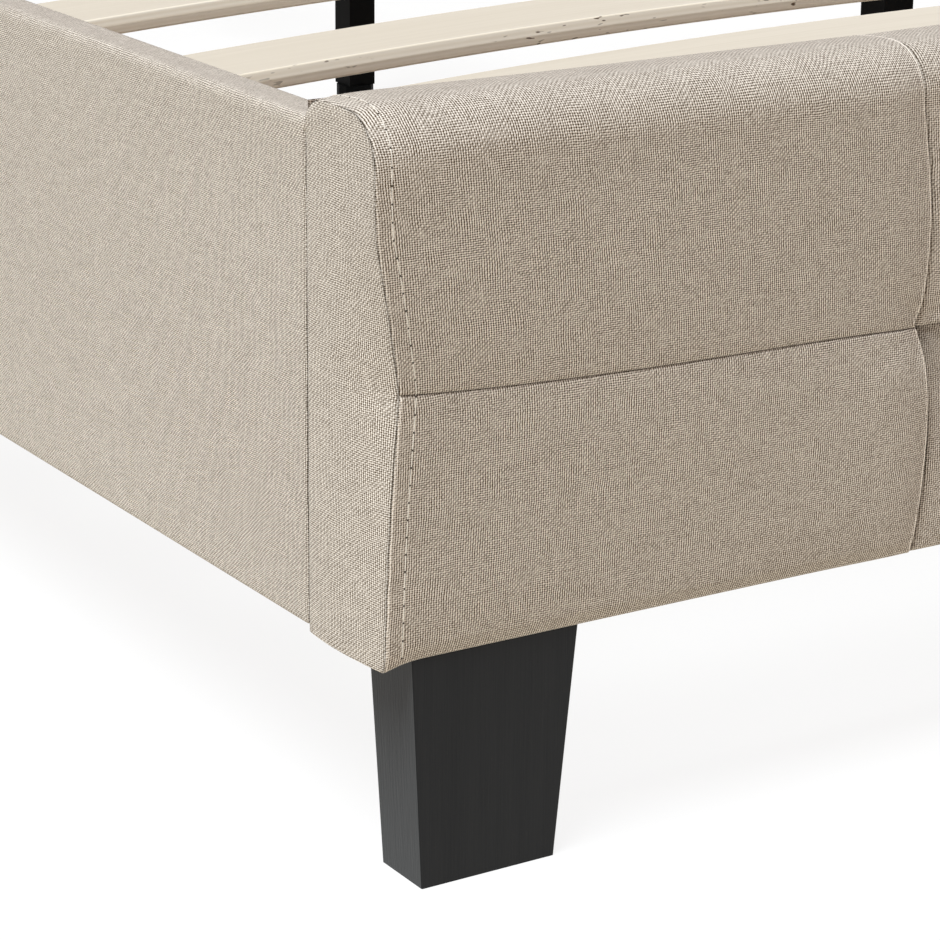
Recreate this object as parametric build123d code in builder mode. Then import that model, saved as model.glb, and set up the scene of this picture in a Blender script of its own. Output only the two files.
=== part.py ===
from build123d import *
import os

# Upholstered queen bed: tufted headboard and footboard, padded side rails and sprung slats on a steel
# centre beam. Millimetres. X runs across the bed, +Y from foot to head, +Z up; the origin is on the
# floor under the middle of the bed.

# Whole bed
overall_width = 1620.0
inner_length = 2040.0
leg_height = 100.0
tuft_columns = 6

# Upholstery: the covers are quilted, so they are only cloth-thick where a seam is sewn through
fabric = 1.5
foam_gap = 0.3
end_padding = 4.0

# Footboard: depth and rise are taken at the corner seam, the pillows swell past it
footboard_depth = 54.0
footboard_rise = 218.0
footboard_seam_rise = 104.0
footboard_shoulder_drop = 26.0
footboard_crest_back = 26.0
footboard_crown = 6.0
footboard_frame_depth = 22.0
footboard_panel_thickness = 9.0
footboard_top_padding = 6.0
footboard_top_foam = 8.0
footboard_batten_height = 45.0
end_foam = 5.0
end_block_width = 100.0
centre_block_width = 90.0

# Headboard
headboard_height = 1140.0
headboard_depth = 88.0
headboard_plain_rise = 230.0
headboard_rows = 3
headboard_shoulder_drop = 34.0
headboard_crest_back = 46.0
headboard_crown = 6.0
headboard_frame_depth = 38.0
headboard_panel_thickness = 9.0
headboard_top_padding = 8.0
headboard_top_foam = 14.0
headboard_member_width = 70.0
headboard_rail_count = 3
headboard_block_height = 180.0

# Pillow shape: swell is the height of each pillow's arc, draw is how far a seam is pulled in
pillow_steps = 6
pillow_fullness = 2.4
centre_swell = 10.0
centre_draw = 4.0
end_swell = 4.0
end_draw = 5.0
pinch_swell = 1.5
pinch_draw = 10.0
pinch_crown_drop = 2.0

# Side rails
rail_thickness = 20.0
rail_lift = 2.5
rail_top_drop = 7.5
rail_board_thickness = 15.0
rail_top_foam = 4.0
rail_outer_radius = 4.5
rail_inner_radius = 5.0

# Wooden legs
leg_top_width = 79.0
leg_bottom_width = 64.0
leg_outer_taper = 5.0
leg_top_depth = 34.0
leg_bottom_depth = 31.0
leg_side_inset = 17.0
foot_leg_inset = 1.0
head_leg_inset = 4.0
leg_edge_chamfer = 0.5
leg_stud_radius = 4.0
leg_stud_in_leg = 25.0
leg_stud_in_frame = 40.0
leg_stud_insets = (28.0, 66.0)
leg_stud_depth = 26.0

# Bolts and their holes, drawn with six flats
fastener_sides = 6
bolt_radius = 4.0
bolt_clearance = 0.3
bolt_head_radius = 7.5
bolt_head_height = 4.5
bolt_length = 26.0
rail_bolt_length = 17.0
hole_overrun = 1.0

# Corner brackets
bracket_thickness = 3.0
bracket_rail_leg = 60.0
bracket_board_leg = 55.0
bracket_lift = 19.5
bracket_height = 126.0
bracket_bolt_rises = (30.0, 96.0)
bracket_rail_bolt = 40.0
bracket_board_bolt = 34.0
bracket_corner_chamfer = 4.0

# Slats
slat_rows = 14
slat_width = 55.0
slat_thickness = 9.0
slat_camber = 13.8
slat_end_margin = 35.0
slat_end_pitch = 118.7
slat_edge_chamfer = 2.5
slat_end_drop = 25.3

# Slat caps and what they stand on
cap_depth = 24.0
cap_back_wall = 4.0
cap_side_wall = 3.5
cap_floor = 3.4
cap_roof = 2.5
cap_slack = 0.4
cap_seat_gap = 0.3
cap_rise_room = 1.8
slat_end_gap = 1.0
ledge_width = 25.0
ledge_height = 22.0
ledge_end_gap = 5.0
ledge_chamfer = 5.0

# Centre beam and its hangers
beam_width = 30.0
beam_height = 40.0
beam_wall = 1.5
beam_end_gap = 5.0
hanger_plate_width = 84.0
hanger_plate_height = 52.0
hanger_thickness = 3.0
hanger_saddle_length = 46.0
hanger_saddle_height = 25.0
hanger_slack = 0.3
hanger_bolt_spread = 29.0
hanger_bolt_drop = 12.0

# Centre legs and levelling feet
centre_leg_places = {"front": -402.0, "rear": 315.0}
centre_leg_size = 25.0
centre_leg_wall = 1.5
centre_plate_length = 70.0
centre_plate_thickness = 3.0
centre_bolt_spread = 26.0
centre_bolt_radius = 3.0
centre_bolt_head_radius = 5.0
centre_bolt_head_height = 3.0
centre_bolt_length = 8.0
insert_flange = 3.0
insert_length = 30.0
insert_slack = 0.2
foot_pad_radius = 16.0
foot_pad_sides = 12
foot_pad_height = 12.7
foot_seat_gap = 0.3
foot_stud_length = 30.0
foot_stud_clearance = 0.4

# Places worked out from the sizes above
half_width = overall_width / 2
column_width = overall_width / tuft_columns
footboard_swell = centre_swell - centre_draw / 2
overall_length = footboard_swell + footboard_depth + inner_length + headboard_depth
footboard_front = -overall_length / 2 + footboard_swell
footboard_back = footboard_front + footboard_depth
footboard_bottom = leg_height
footboard_top = leg_height + footboard_rise
footboard_cover_back = footboard_back - fabric
footboard_frame_front = footboard_cover_back - footboard_frame_depth
footboard_panel_front = footboard_frame_front - footboard_panel_thickness
footboard_inner_front = footboard_front + pinch_draw + fabric
footboard_inner_top = footboard_top - footboard_top_padding
footboard_frame_bottom = footboard_bottom + fabric
footboard_frame_top = footboard_inner_top - footboard_top_foam
inner_half_width = half_width - end_padding
frame_half_width = inner_half_width - end_foam
block_inner_x = frame_half_width - end_block_width

headboard_front = footboard_back + inner_length
headboard_back = overall_length / 2
headboard_bottom = leg_height
headboard_cover_back = headboard_back - fabric
headboard_frame_front = headboard_cover_back - headboard_frame_depth
headboard_panel_front = headboard_frame_front - headboard_panel_thickness
headboard_inner_front = headboard_front + pinch_draw + fabric
headboard_inner_top = headboard_height - headboard_crown - headboard_top_padding
headboard_frame_bottom = headboard_bottom + fabric
headboard_frame_top = headboard_inner_top - headboard_top_foam
headboard_plain_top = headboard_bottom + headboard_plain_rise
headboard_row_height = (headboard_height - headboard_plain_top) / headboard_rows

rail_inner_x = half_width - rail_thickness
rail_bottom = footboard_bottom + rail_lift
rail_top = footboard_top - rail_top_drop
rail_board_bottom = rail_bottom + fabric
rail_board_top = rail_top - rail_top_foam - fabric
bracket_bottom = rail_bottom + bracket_lift
bracket_bolt_heights = [bracket_bottom + rise for rise in bracket_bolt_rises]

slat_end_top = footboard_top - slat_end_drop
slat_pitch = (inner_length - 2 * (slat_end_margin + slat_end_pitch) - slat_width) / (slat_rows - 3)
slot_bottom = slat_end_top - slat_thickness - cap_seat_gap
slot_top = slat_end_top + cap_rise_room
cap_bottom = slot_bottom - cap_floor
cap_top = slot_top + cap_roof
ledge_top = cap_bottom
beam_top = cap_bottom
beam_bottom = beam_top - beam_height
slat_outer_end = rail_inner_x - cap_back_wall - slat_end_gap
slat_inner_end = cap_back_wall / 2 + slat_end_gap

insert_bottom = foot_pad_height + foot_seat_gap
tube_bottom = insert_bottom + insert_flange
tube_top = beam_bottom - centre_plate_thickness

SIDES = {"left": -1, "right": 1}
ENDS = {"front": -1, "rear": 1}
UP = (0, 0, 1)
DOWN = (0, 0, -1)


def save(builder, name):
    """Label a finished piece and write it as its own node."""
    builder.part.label = name
    export_step(builder.part, f"parts/{name}.step")


def span_box(low, high, mode=Mode.ADD):
    """A box between two opposite corners."""
    sizes = [abs(b - a) for a, b in zip(low, high)]
    middle = [(a + b) / 2 for a, b in zip(low, high)]
    with Locations(tuple(middle)):
        Box(*sizes, mode=mode)


def prism(origin, direction, radius, length, mode=Mode.ADD):
    """A six-sided bar from origin along a direction."""
    with BuildSketch(Plane(origin=origin, z_dir=direction)) as flats:
        RegularPolygon(radius, fastener_sides)
    extrude(flats.sketch, amount=length, mode=mode)


def drill(origin, outward, radius, depth):
    """A straight hole from origin, into the piece against the outward direction."""
    inward = tuple(-part for part in outward)
    prism(origin, inward, radius, depth, mode=Mode.SUBTRACT)


def bolt(origin, outward, radius, length, head_radius, head_height):
    """A bolt whose head sits on origin and whose shank goes in against the outward direction."""
    inward = tuple(-part for part in outward)
    prism(origin, inward, radius, length)
    prism(origin, outward, head_radius, head_height)


# Tufted pads: lofted through upright slices that swell in each pillow and draw in at each sewn seam


def footboard_slice(x, swell, draw, crown):
    """Outline of the footboard pad at x: two pillow arcs that meet at the sewn seam, and a crowned top."""
    seam = (footboard_front + draw, footboard_bottom + footboard_seam_rise)
    shoulder = (footboard_front, footboard_top - footboard_shoulder_drop)
    crest = (footboard_front + footboard_crest_back, footboard_top + crown)
    base = (footboard_front, footboard_bottom)
    top = (footboard_cover_back, footboard_top)
    with BuildSketch(Plane.YZ.offset(x)) as outline:
        with BuildLine():
            Polyline(top, (footboard_cover_back, footboard_bottom), base)
            SagittaArc(base, seam, swell)
            SagittaArc(seam, shoulder, swell)
            ThreePointArc(shoulder, crest, top)
        make_face()
    return outline.sketch


def headboard_slice(x, swell, draw, crown):
    """Outline of the headboard pad at x: a plain lower front, a stack of pillow arcs and a crowned top."""
    top_seam = headboard_height - headboard_crown
    seams = [(headboard_front, headboard_plain_top)]
    for row in range(1, headboard_rows):
        seams.append((headboard_front + draw, headboard_plain_top + row * headboard_row_height))
    shoulder = (headboard_front, top_seam - headboard_shoulder_drop)
    crest = (headboard_front + headboard_crest_back, top_seam + crown)
    base = (headboard_front, headboard_bottom)
    top = (headboard_cover_back, top_seam)
    with BuildSketch(Plane.YZ.offset(x)) as outline:
        with BuildLine():
            Polyline(top, (headboard_cover_back, headboard_bottom), base, seams[0])
            for lower, upper in zip(seams, seams[1:] + [shoulder]):
                SagittaArc(lower, upper, swell)
            ThreePointArc(shoulder, crest, top)
        make_face()
    return outline.sketch


def blend(edge, middle, share):
    """A value between the seam's and the pillow's middle."""
    return edge + (middle - edge) * share


def pad_slices(slice_at, crown):
    """Slices of a whole pad from left to right: plain at its ends, full in each pillow, pinched at each seam."""
    slices = []
    steps = tuft_columns * pillow_steps
    for step in range(steps + 1):
        x = -half_width + step * overall_width / steps
        column_share = step % pillow_steps / pillow_steps
        share = 1 - abs(2 * column_share - 1) ** pillow_fullness
        near_end = step < pillow_steps / 2 or step > steps - pillow_steps / 2
        swell = blend(end_swell if near_end else pinch_swell, centre_swell, share)
        draw = blend(end_draw if near_end else pinch_draw, centre_draw, share)
        rise = blend(crown - pinch_crown_drop, crown, share)
        slices.append(slice_at(x, swell, draw, rise))
    return slices


def bracket_corner(side, end):
    """Inside corner between a rail and the footboard or headboard."""
    return side * rail_inner_x, footboard_back if end < 0 else headboard_front


def bracket_rail_bolts(side, end):
    """Heads of the bolts that go sideways into the rail."""
    corner_x, corner_y = bracket_corner(side, end)
    x = corner_x - side * bracket_thickness
    y = corner_y - end * bracket_rail_bolt
    return [((x, y, z), (-side, 0, 0)) for z in bracket_bolt_heights]


def bracket_board_bolts(side, end):
    """Heads of the bolts that go lengthways into the footboard or headboard."""
    corner_x, corner_y = bracket_corner(side, end)
    x = corner_x - side * bracket_board_bolt
    y = corner_y - end * bracket_thickness
    return [((x, y, z), (0, -end, 0)) for z in bracket_bolt_heights]


def hanger_bolts(end):
    """Heads of the two bolts that hold a beam hanger."""
    face = footboard_back if end < 0 else headboard_front
    y = face - end * hanger_thickness
    z = beam_bottom - hanger_bolt_drop
    return [((side * hanger_bolt_spread, y, z), (0, -end, 0)) for side in SIDES.values()]


def board_bolts(end):
    """Every bolt that goes into the footboard or headboard from inside the bed."""
    bolts = hanger_bolts(end)
    for side in SIDES.values():
        bolts += bracket_board_bolts(side, end)
    return bolts


def leg_studs(side, end):
    """Centres of a wooden leg's two studs at the top of the leg."""
    if end < 0:
        y = footboard_front + foot_leg_inset + leg_stud_depth
    else:
        y = headboard_back - head_leg_inset - leg_stud_depth
    return [(side * (half_width - inset), y, leg_height) for inset in leg_stud_insets]


def drill_bolts(bolts, length=bolt_length):
    """Clearance holes for a list of bolts."""
    for origin, outward in bolts:
        drill(origin, outward, bolt_radius + bolt_clearance, length + hole_overrun)


def drill_studs(end, depth):
    """Clearance holes for the leg studs of one end of the bed, up into its frame."""
    for side in SIDES.values():
        for centre in leg_studs(side, end):
            drill(centre, DOWN, leg_stud_radius + bolt_clearance, depth)


os.makedirs("parts", exist_ok=True)

# Footboard: battens, blocks and plywood inside, then foam, cover and back cover
with BuildPart() as footboard_battens:
    for low in (footboard_frame_bottom, footboard_frame_top - footboard_batten_height):
        span_box(
            (-block_inner_x, footboard_frame_front, low),
            (block_inner_x, footboard_cover_back, low + footboard_batten_height),
        )
save(footboard_battens, "footboard_battens")

with BuildPart() as footboard_blocks:
    for side in SIDES.values():
        span_box(
            (side * block_inner_x, footboard_panel_front, footboard_frame_bottom),
            (side * frame_half_width, footboard_cover_back, footboard_frame_top),
        )
    span_box(
        (-centre_block_width / 2, footboard_frame_front, footboard_frame_bottom + footboard_batten_height),
        (centre_block_width / 2, footboard_cover_back, footboard_frame_top - footboard_batten_height),
    )
    drill_bolts(board_bolts(-1))
    drill_studs(-1, leg_stud_in_frame + hole_overrun)
save(footboard_blocks, "footboard_blocks")

with BuildPart() as footboard_panel:
    span_box(
        (-block_inner_x, footboard_panel_front, footboard_frame_bottom),
        (block_inner_x, footboard_frame_front, footboard_frame_top),
    )
save(footboard_panel, "footboard_panel")

with BuildPart() as footboard_foam:
    span_box(
        (-inner_half_width + foam_gap, footboard_inner_front + foam_gap, footboard_frame_bottom),
        (inner_half_width - foam_gap, footboard_cover_back, footboard_inner_top - foam_gap),
    )
    span_box(
        (-frame_half_width, footboard_panel_front, footboard_bottom),
        (frame_half_width, footboard_back, footboard_frame_top),
        mode=Mode.SUBTRACT,
    )
save(footboard_foam, "footboard_foam")

with BuildPart() as footboard_cover:
    loft(pad_slices(footboard_slice, footboard_crown), ruled=True)
    span_box(
        (-inner_half_width, footboard_inner_front, footboard_frame_bottom),
        (inner_half_width, footboard_back, footboard_inner_top),
        mode=Mode.SUBTRACT,
    )
    drill_studs(-1, fabric + hole_overrun)
save(footboard_cover, "footboard_cover")

with BuildPart() as footboard_back_cover:
    span_box(
        (-half_width + fabric, footboard_cover_back, footboard_bottom + fabric),
        (half_width - fabric, footboard_back, footboard_top - fabric),
    )
    drill_bolts(board_bolts(-1))
save(footboard_back_cover, "footboard_back_cover")

# Headboard: stiles, rails, blocks and plywood inside, then foam, cover and back cloth
stile_inner_x = frame_half_width - headboard_member_width
for name, side in SIDES.items():
    with BuildPart() as stile:
        span_box(
            (side * stile_inner_x, headboard_frame_front, headboard_frame_bottom),
            (side * frame_half_width, headboard_cover_back, headboard_frame_top),
        )
        drill_studs(1, leg_stud_in_frame + hole_overrun)
    save(stile, f"headboard_{name}_stile")

with BuildPart() as headboard_rails:
    rail_pitch = (headboard_frame_top - headboard_member_width - headboard_frame_bottom) / (
        headboard_rail_count - 1
    )
    for step in range(headboard_rail_count):
        low = headboard_frame_bottom + step * rail_pitch
        span_box(
            (-stile_inner_x, headboard_frame_front, low),
            (stile_inner_x, headboard_cover_back, low + headboard_member_width),
        )
save(headboard_rails, "headboard_rails")

with BuildPart() as headboard_blocks:
    block_spans = [(block_inner_x, frame_half_width), (-frame_half_width, -block_inner_x)]
    block_spans.append((-centre_block_width / 2, centre_block_width / 2))
    for low_x, high_x in block_spans:
        span_box(
            (low_x, headboard_inner_front, headboard_frame_bottom),
            (high_x, headboard_panel_front, headboard_frame_bottom + headboard_block_height),
        )
    drill_bolts(board_bolts(1))
save(headboard_blocks, "headboard_blocks")

with BuildPart() as headboard_panel:
    span_box(
        (-frame_half_width, headboard_panel_front, headboard_frame_bottom),
        (frame_half_width, headboard_frame_front, headboard_frame_top),
    )
save(headboard_panel, "headboard_panel")

with BuildPart() as headboard_foam:
    span_box(
        (-inner_half_width + foam_gap, headboard_inner_front + foam_gap, headboard_frame_bottom),
        (inner_half_width - foam_gap, headboard_cover_back, headboard_inner_top - foam_gap),
    )
    span_box(
        (-frame_half_width, headboard_panel_front, headboard_bottom),
        (frame_half_width, headboard_back, headboard_frame_top),
        mode=Mode.SUBTRACT,
    )
    for low_x, high_x in block_spans:
        span_box(
            (low_x, headboard_front, headboard_bottom),
            (high_x, headboard_panel_front, headboard_frame_bottom + headboard_block_height),
            mode=Mode.SUBTRACT,
        )
save(headboard_foam, "headboard_foam")

with BuildPart() as headboard_cover:
    loft(pad_slices(headboard_slice, headboard_crown), ruled=True)
    span_box(
        (-inner_half_width, headboard_inner_front, headboard_frame_bottom),
        (inner_half_width, headboard_back, headboard_inner_top),
        mode=Mode.SUBTRACT,
    )
    drill_bolts(board_bolts(1))
    drill_studs(1, fabric + hole_overrun)
save(headboard_cover, "headboard_cover")

with BuildPart() as headboard_back_cloth:
    span_box(
        (-half_width + fabric, headboard_cover_back, headboard_bottom + fabric),
        (half_width - fabric, headboard_back, headboard_height - headboard_crown - fabric),
    )
save(headboard_back_cloth, "headboard_back_cloth")

# Wooden legs: blocks that taper to the floor, more on the side towards the middle of the bed
for end_name, end in (("footboard", -1), ("headboard", 1)):
    for name, side in SIDES.items():
        if end < 0:
            outer_face = footboard_front + foot_leg_inset
        else:
            outer_face = headboard_back - head_leg_inset
        top_outer = half_width - leg_side_inset
        foot_outer = top_outer - leg_outer_taper
        front_view = [
            (side * top_outer, leg_height),
            (side * (top_outer - leg_top_width), leg_height),
            (side * (foot_outer - leg_bottom_width), 0),
            (side * foot_outer, 0),
        ]
        side_view = [
            (outer_face, leg_height),
            (outer_face - end * leg_top_depth, leg_height),
            (outer_face - end * leg_bottom_depth, 0),
            (outer_face, 0),
        ]
        with BuildPart() as leg:
            with BuildSketch(Plane.XZ.offset(-outer_face)):
                with BuildLine():
                    Polyline(*front_view, close=True)
                make_face()
            extrude(amount=leg_top_depth, both=True)
            with BuildSketch(Plane.YZ):
                with BuildLine():
                    Polyline(*side_view, close=True)
                make_face()
            extrude(amount=half_width, both=True, mode=Mode.INTERSECT)
            upright_edges = leg.edges().group_by(Axis.Z)[1]
            chamfer(upright_edges, leg_edge_chamfer)
            for centre in leg_studs(side, end):
                drill(centre, UP, leg_stud_radius + bolt_clearance, leg_stud_in_leg + hole_overrun)
        save(leg, f"{end_name}_{name}_leg")

with BuildPart() as leg_stud_set:
    for end in ENDS.values():
        for side in SIDES.values():
            for x, y, z in leg_studs(side, end):
                bottom = (x, y, z - leg_stud_in_leg)
                prism(bottom, UP, leg_stud_radius, leg_stud_in_leg + leg_stud_in_frame)
save(leg_stud_set, "leg_studs")


# Side rails: a board wrapped in foam and cloth, with a ledge for the slats on its inner face


def rail_outline(side, inset=0.0):
    """Cross-section of a padded rail, rounded along its two top edges."""
    width = rail_thickness - 2 * inset
    height = rail_top - rail_bottom - 2 * inset
    middle = (side * (half_width - rail_thickness / 2), (rail_top + rail_bottom) / 2)
    with BuildSketch(Plane.XZ.offset(-headboard_front)) as outline:
        with Locations(middle):
            Rectangle(width, height)
        top = outline.vertices().group_by(Axis.Y)[-1].sort_by(Axis.X)
        outer = top[0] if side < 0 else top[-1]
        fillet(outer, rail_outer_radius - inset)
        inner_corner = outline.vertices().group_by(Axis.Y)[-1].sort_by(Axis.X)
        inner = inner_corner[-1] if side < 0 else inner_corner[0]
        fillet(inner, rail_inner_radius - inset)
    return outline.sketch


for name, side in SIDES.items():
    rail_bolts = bracket_rail_bolts(side, -1) + bracket_rail_bolts(side, 1)
    board_inner = rail_inner_x + fabric
    board_outer = board_inner + rail_board_thickness

    with BuildPart() as rail_board:
        span_box(
            (side * board_inner, footboard_back, rail_board_bottom),
            (side * board_outer, headboard_front, rail_board_top),
        )
        drill_bolts(rail_bolts, rail_bolt_length)
    save(rail_board, f"{name}_rail_board")

    with BuildPart() as rail_foam:
        extrude(rail_outline(side, fabric + foam_gap), amount=inner_length)
        span_box(
            (side * rail_inner_x, footboard_back, rail_bottom),
            (side * board_outer, headboard_front, rail_board_top),
            mode=Mode.SUBTRACT,
        )
    save(rail_foam, f"{name}_rail_foam")

    with BuildPart() as rail_cover:
        extrude(rail_outline(side), amount=inner_length)
        extrude(rail_outline(side, fabric), amount=inner_length, mode=Mode.SUBTRACT)
        drill_bolts(rail_bolts, rail_bolt_length)
    save(rail_cover, f"{name}_rail_cover")

    with BuildPart() as slat_ledge:
        span_box(
            (side * rail_inner_x, footboard_back + ledge_end_gap, ledge_top - ledge_height),
            (side * (rail_inner_x - ledge_width), headboard_front - ledge_end_gap, ledge_top),
        )
        under_edges = slat_ledge.edges().filter_by(Axis.Y).group_by(Axis.Z)[0].sort_by(Axis.X)
        chamfer(under_edges[-1] if side < 0 else under_edges[0], ledge_chamfer)
    save(slat_ledge, f"{name}_slat_ledge")

# Corner brackets and their bolts
for end_name, end in ENDS.items():
    for name, side in SIDES.items():
        corner_x, corner_y = bracket_corner(side, end)
        along_rail = (corner_x - side * bracket_thickness, corner_y - end * bracket_rail_leg)
        along_board = (corner_x - side * bracket_board_leg, corner_y - end * bracket_thickness)
        with BuildPart() as bracket:
            span_box(
                (corner_x, corner_y, bracket_bottom),
                (*along_rail, bracket_bottom + bracket_height),
            )
            span_box(
                (corner_x, corner_y, bracket_bottom),
                (*along_board, bracket_bottom + bracket_height),
            )
            free_edges = bracket.edges().filter_by(Axis.X).group_by(Axis.Y)
            rail_corners = free_edges[-1] if end < 0 else free_edges[0]
            chamfer(rail_corners, bracket_corner_chamfer)
            free_edges = bracket.edges().filter_by(Axis.Y).group_by(Axis.X)
            board_corners = free_edges[-1] if side < 0 else free_edges[0]
            chamfer(board_corners, bracket_corner_chamfer)
            drill_bolts(bracket_rail_bolts(side, end), rail_bolt_length)
            drill_bolts(bracket_board_bolts(side, end))
        save(bracket, f"{end_name}_{name}_bracket")

with BuildPart() as bracket_bolt_set:
    for end in ENDS.values():
        for side in SIDES.values():
            for origin, outward in bracket_rail_bolts(side, end):
                bolt(origin, outward, bolt_radius, rail_bolt_length, bolt_head_radius, bolt_head_height)
            for origin, outward in bracket_board_bolts(side, end):
                bolt(origin, outward, bolt_radius, bolt_length, bolt_head_radius, bolt_head_height)
save(bracket_bolt_set, "bracket_bolts")

# Centre beam, the saddles that carry its ends, and its legs
with BuildPart() as centre_beam:
    beam_ends = (footboard_back + beam_end_gap, headboard_front - beam_end_gap)
    span_box((-beam_width / 2, beam_ends[0], beam_bottom), (beam_width / 2, beam_ends[1], beam_top))
    bore_half = beam_width / 2 - beam_wall
    span_box(
        (-bore_half, beam_ends[0], beam_bottom + beam_wall),
        (bore_half, beam_ends[1], beam_top - beam_wall),
        mode=Mode.SUBTRACT,
    )
    for y in centre_leg_places.values():
        for shift in (-centre_bolt_spread, centre_bolt_spread):
            drill(
                (0, y + shift, beam_bottom),
                DOWN,
                centre_bolt_radius + bolt_clearance,
                beam_wall + hole_overrun,
            )
save(centre_beam, "centre_beam")

with BuildPart() as beam_hangers:
    for end in ENDS.values():
        face = footboard_back if end < 0 else headboard_front
        plate_face = face - end * hanger_thickness
        saddle_end = face - end * hanger_saddle_length
        saddle_half = beam_width / 2 + hanger_slack + hanger_thickness
        saddle_bottom = beam_bottom - hanger_thickness
        plate_top = saddle_bottom + hanger_saddle_height
        span_box(
            (-hanger_plate_width / 2, face, plate_top - hanger_plate_height),
            (hanger_plate_width / 2, plate_face, plate_top),
        )
        span_box((-saddle_half, plate_face, saddle_bottom), (saddle_half, saddle_end, plate_top))
        channel_half = beam_width / 2 + hanger_slack
        span_box(
            (-channel_half, plate_face, beam_bottom),
            (channel_half, saddle_end, plate_top),
            mode=Mode.SUBTRACT,
        )
        drill_bolts(hanger_bolts(end))
save(beam_hangers, "beam_hangers")

for name, y in centre_leg_places.items():
    with BuildPart() as centre_leg:
        with BuildSketch(Plane.XY.offset(tube_bottom)):
            with Locations((0, y)):
                Rectangle(centre_leg_size, centre_leg_size)
                bore = centre_leg_size - 2 * centre_leg_wall
                Rectangle(bore, bore, mode=Mode.SUBTRACT)
        extrude(amount=tube_top - tube_bottom)
        span_box(
            (-beam_width / 2, y - centre_plate_length / 2, tube_top),
            (beam_width / 2, y + centre_plate_length / 2, beam_bottom),
        )
        for shift in (-centre_bolt_spread, centre_bolt_spread):
            drill(
                (0, y + shift, tube_top),
                DOWN,
                centre_bolt_radius + bolt_clearance,
                centre_plate_thickness + hole_overrun,
            )
    save(centre_leg, f"{name}_centre_leg")

with BuildPart() as leg_inserts:
    plug = centre_leg_size - 2 * centre_leg_wall - 2 * insert_slack
    for y in centre_leg_places.values():
        with Locations((0, y, insert_bottom)):
            Box(
                centre_leg_size,
                centre_leg_size,
                insert_flange,
                align=(Align.CENTER, Align.CENTER, Align.MIN),
            )
        with Locations((0, y, tube_bottom)):
            Box(plug, plug, insert_length, align=(Align.CENTER, Align.CENTER, Align.MIN))
        with Locations((0, y, insert_bottom)):
            Cylinder(
                bolt_radius + foot_stud_clearance,
                insert_flange + insert_length,
                align=(Align.CENTER, Align.CENTER, Align.MIN),
                mode=Mode.SUBTRACT,
            )
save(leg_inserts, "leg_inserts")

for name, y in centre_leg_places.items():
    with BuildPart() as levelling_foot:
        with BuildSketch(Plane.XY):
            with Locations((0, y)):
                RegularPolygon(foot_pad_radius, foot_pad_sides)
        extrude(amount=foot_pad_height)
        with Locations((0, y, foot_pad_height)):
            Cylinder(bolt_radius, foot_stud_length, align=(Align.CENTER, Align.CENTER, Align.MIN))
    save(levelling_foot, f"{name}_levelling_foot")

with BuildPart() as centre_bolts:
    for end in ENDS.values():
        for origin, outward in hanger_bolts(end):
            bolt(origin, outward, bolt_radius, bolt_length, bolt_head_radius, bolt_head_height)
    for y in centre_leg_places.values():
        for shift in (-centre_bolt_spread, centre_bolt_spread):
            bolt(
                (0, y + shift, tube_top),
                DOWN,
                centre_bolt_radius,
                centre_bolt_length,
                centre_bolt_head_radius,
                centre_bolt_head_height,
            )
save(centre_bolts, "centre_bolts")

# Slat base: sprung slats bowed upwards, in two halves that meet over the centre beam. The first and last
# rows stand closer to their neighbours than the evenly spaced rows between them.
first_row = footboard_back + slat_end_margin + slat_width / 2
even_rows = [first_row + slat_end_pitch + row * slat_pitch for row in range(slat_rows - 2)]
slat_middles = [first_row, *even_rows, even_rows[-1] + slat_end_pitch]

for row, y in enumerate(slat_middles, start=1):
    with BuildPart() as slat_pair:
        for side in SIDES.values():
            inner_end = side * slat_inner_end
            outer_end = side * slat_outer_end
            crest_x = (inner_end + outer_end) / 2
            slat_end_bottom = slat_end_top - slat_thickness
            with BuildSketch(Plane.XZ.offset(-(y + slat_width / 2))) as bow:
                with BuildLine():
                    ThreePointArc(
                        (inner_end, slat_end_top),
                        (crest_x, slat_end_top + slat_camber),
                        (outer_end, slat_end_top),
                    )
                    Line((outer_end, slat_end_top), (outer_end, slat_end_bottom))
                    ThreePointArc(
                        (outer_end, slat_end_bottom),
                        (crest_x, slat_end_bottom + slat_camber),
                        (inner_end, slat_end_bottom),
                    )
                    Line((inner_end, slat_end_bottom), (inner_end, slat_end_top))
                make_face()
            extrude(amount=slat_width)
        upper_edges = slat_pair.edges().filter_by(GeomType.CIRCLE).group_by(Axis.Z)[-1]
        chamfer(upper_edges, slat_edge_chamfer)
    save(slat_pair, f"slat_pair_{row:02d}")


def slat_cap(y, back_x, inward):
    """A moulded pocket that takes one slat end; back_x is its closed end, inward points along the slat."""
    half_cap = slat_width / 2 + cap_slack + cap_side_wall
    half_slot = slat_width / 2 + cap_slack
    mouth_x = back_x + inward * cap_depth
    span_box((back_x, y - half_cap, cap_bottom), (mouth_x, y + half_cap, cap_top))
    span_box(
        (back_x + inward * cap_back_wall, y - half_slot, slot_bottom),
        (mouth_x, y + half_slot, slot_top),
        mode=Mode.SUBTRACT,
    )


for name, side in SIDES.items():
    with BuildPart() as rail_caps:
        for y in slat_middles:
            slat_cap(y, side * rail_inner_x, -side)
    save(rail_caps, f"{name}_slat_caps")

with BuildPart() as centre_caps:
    for y in slat_middles:
        for side in SIDES.values():
            slat_cap(y, -side * cap_back_wall / 2, side)
save(centre_caps, "centre_slat_caps")
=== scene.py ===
import math

import bpy
import numpy as np
from mathutils import Matrix, Vector


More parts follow.
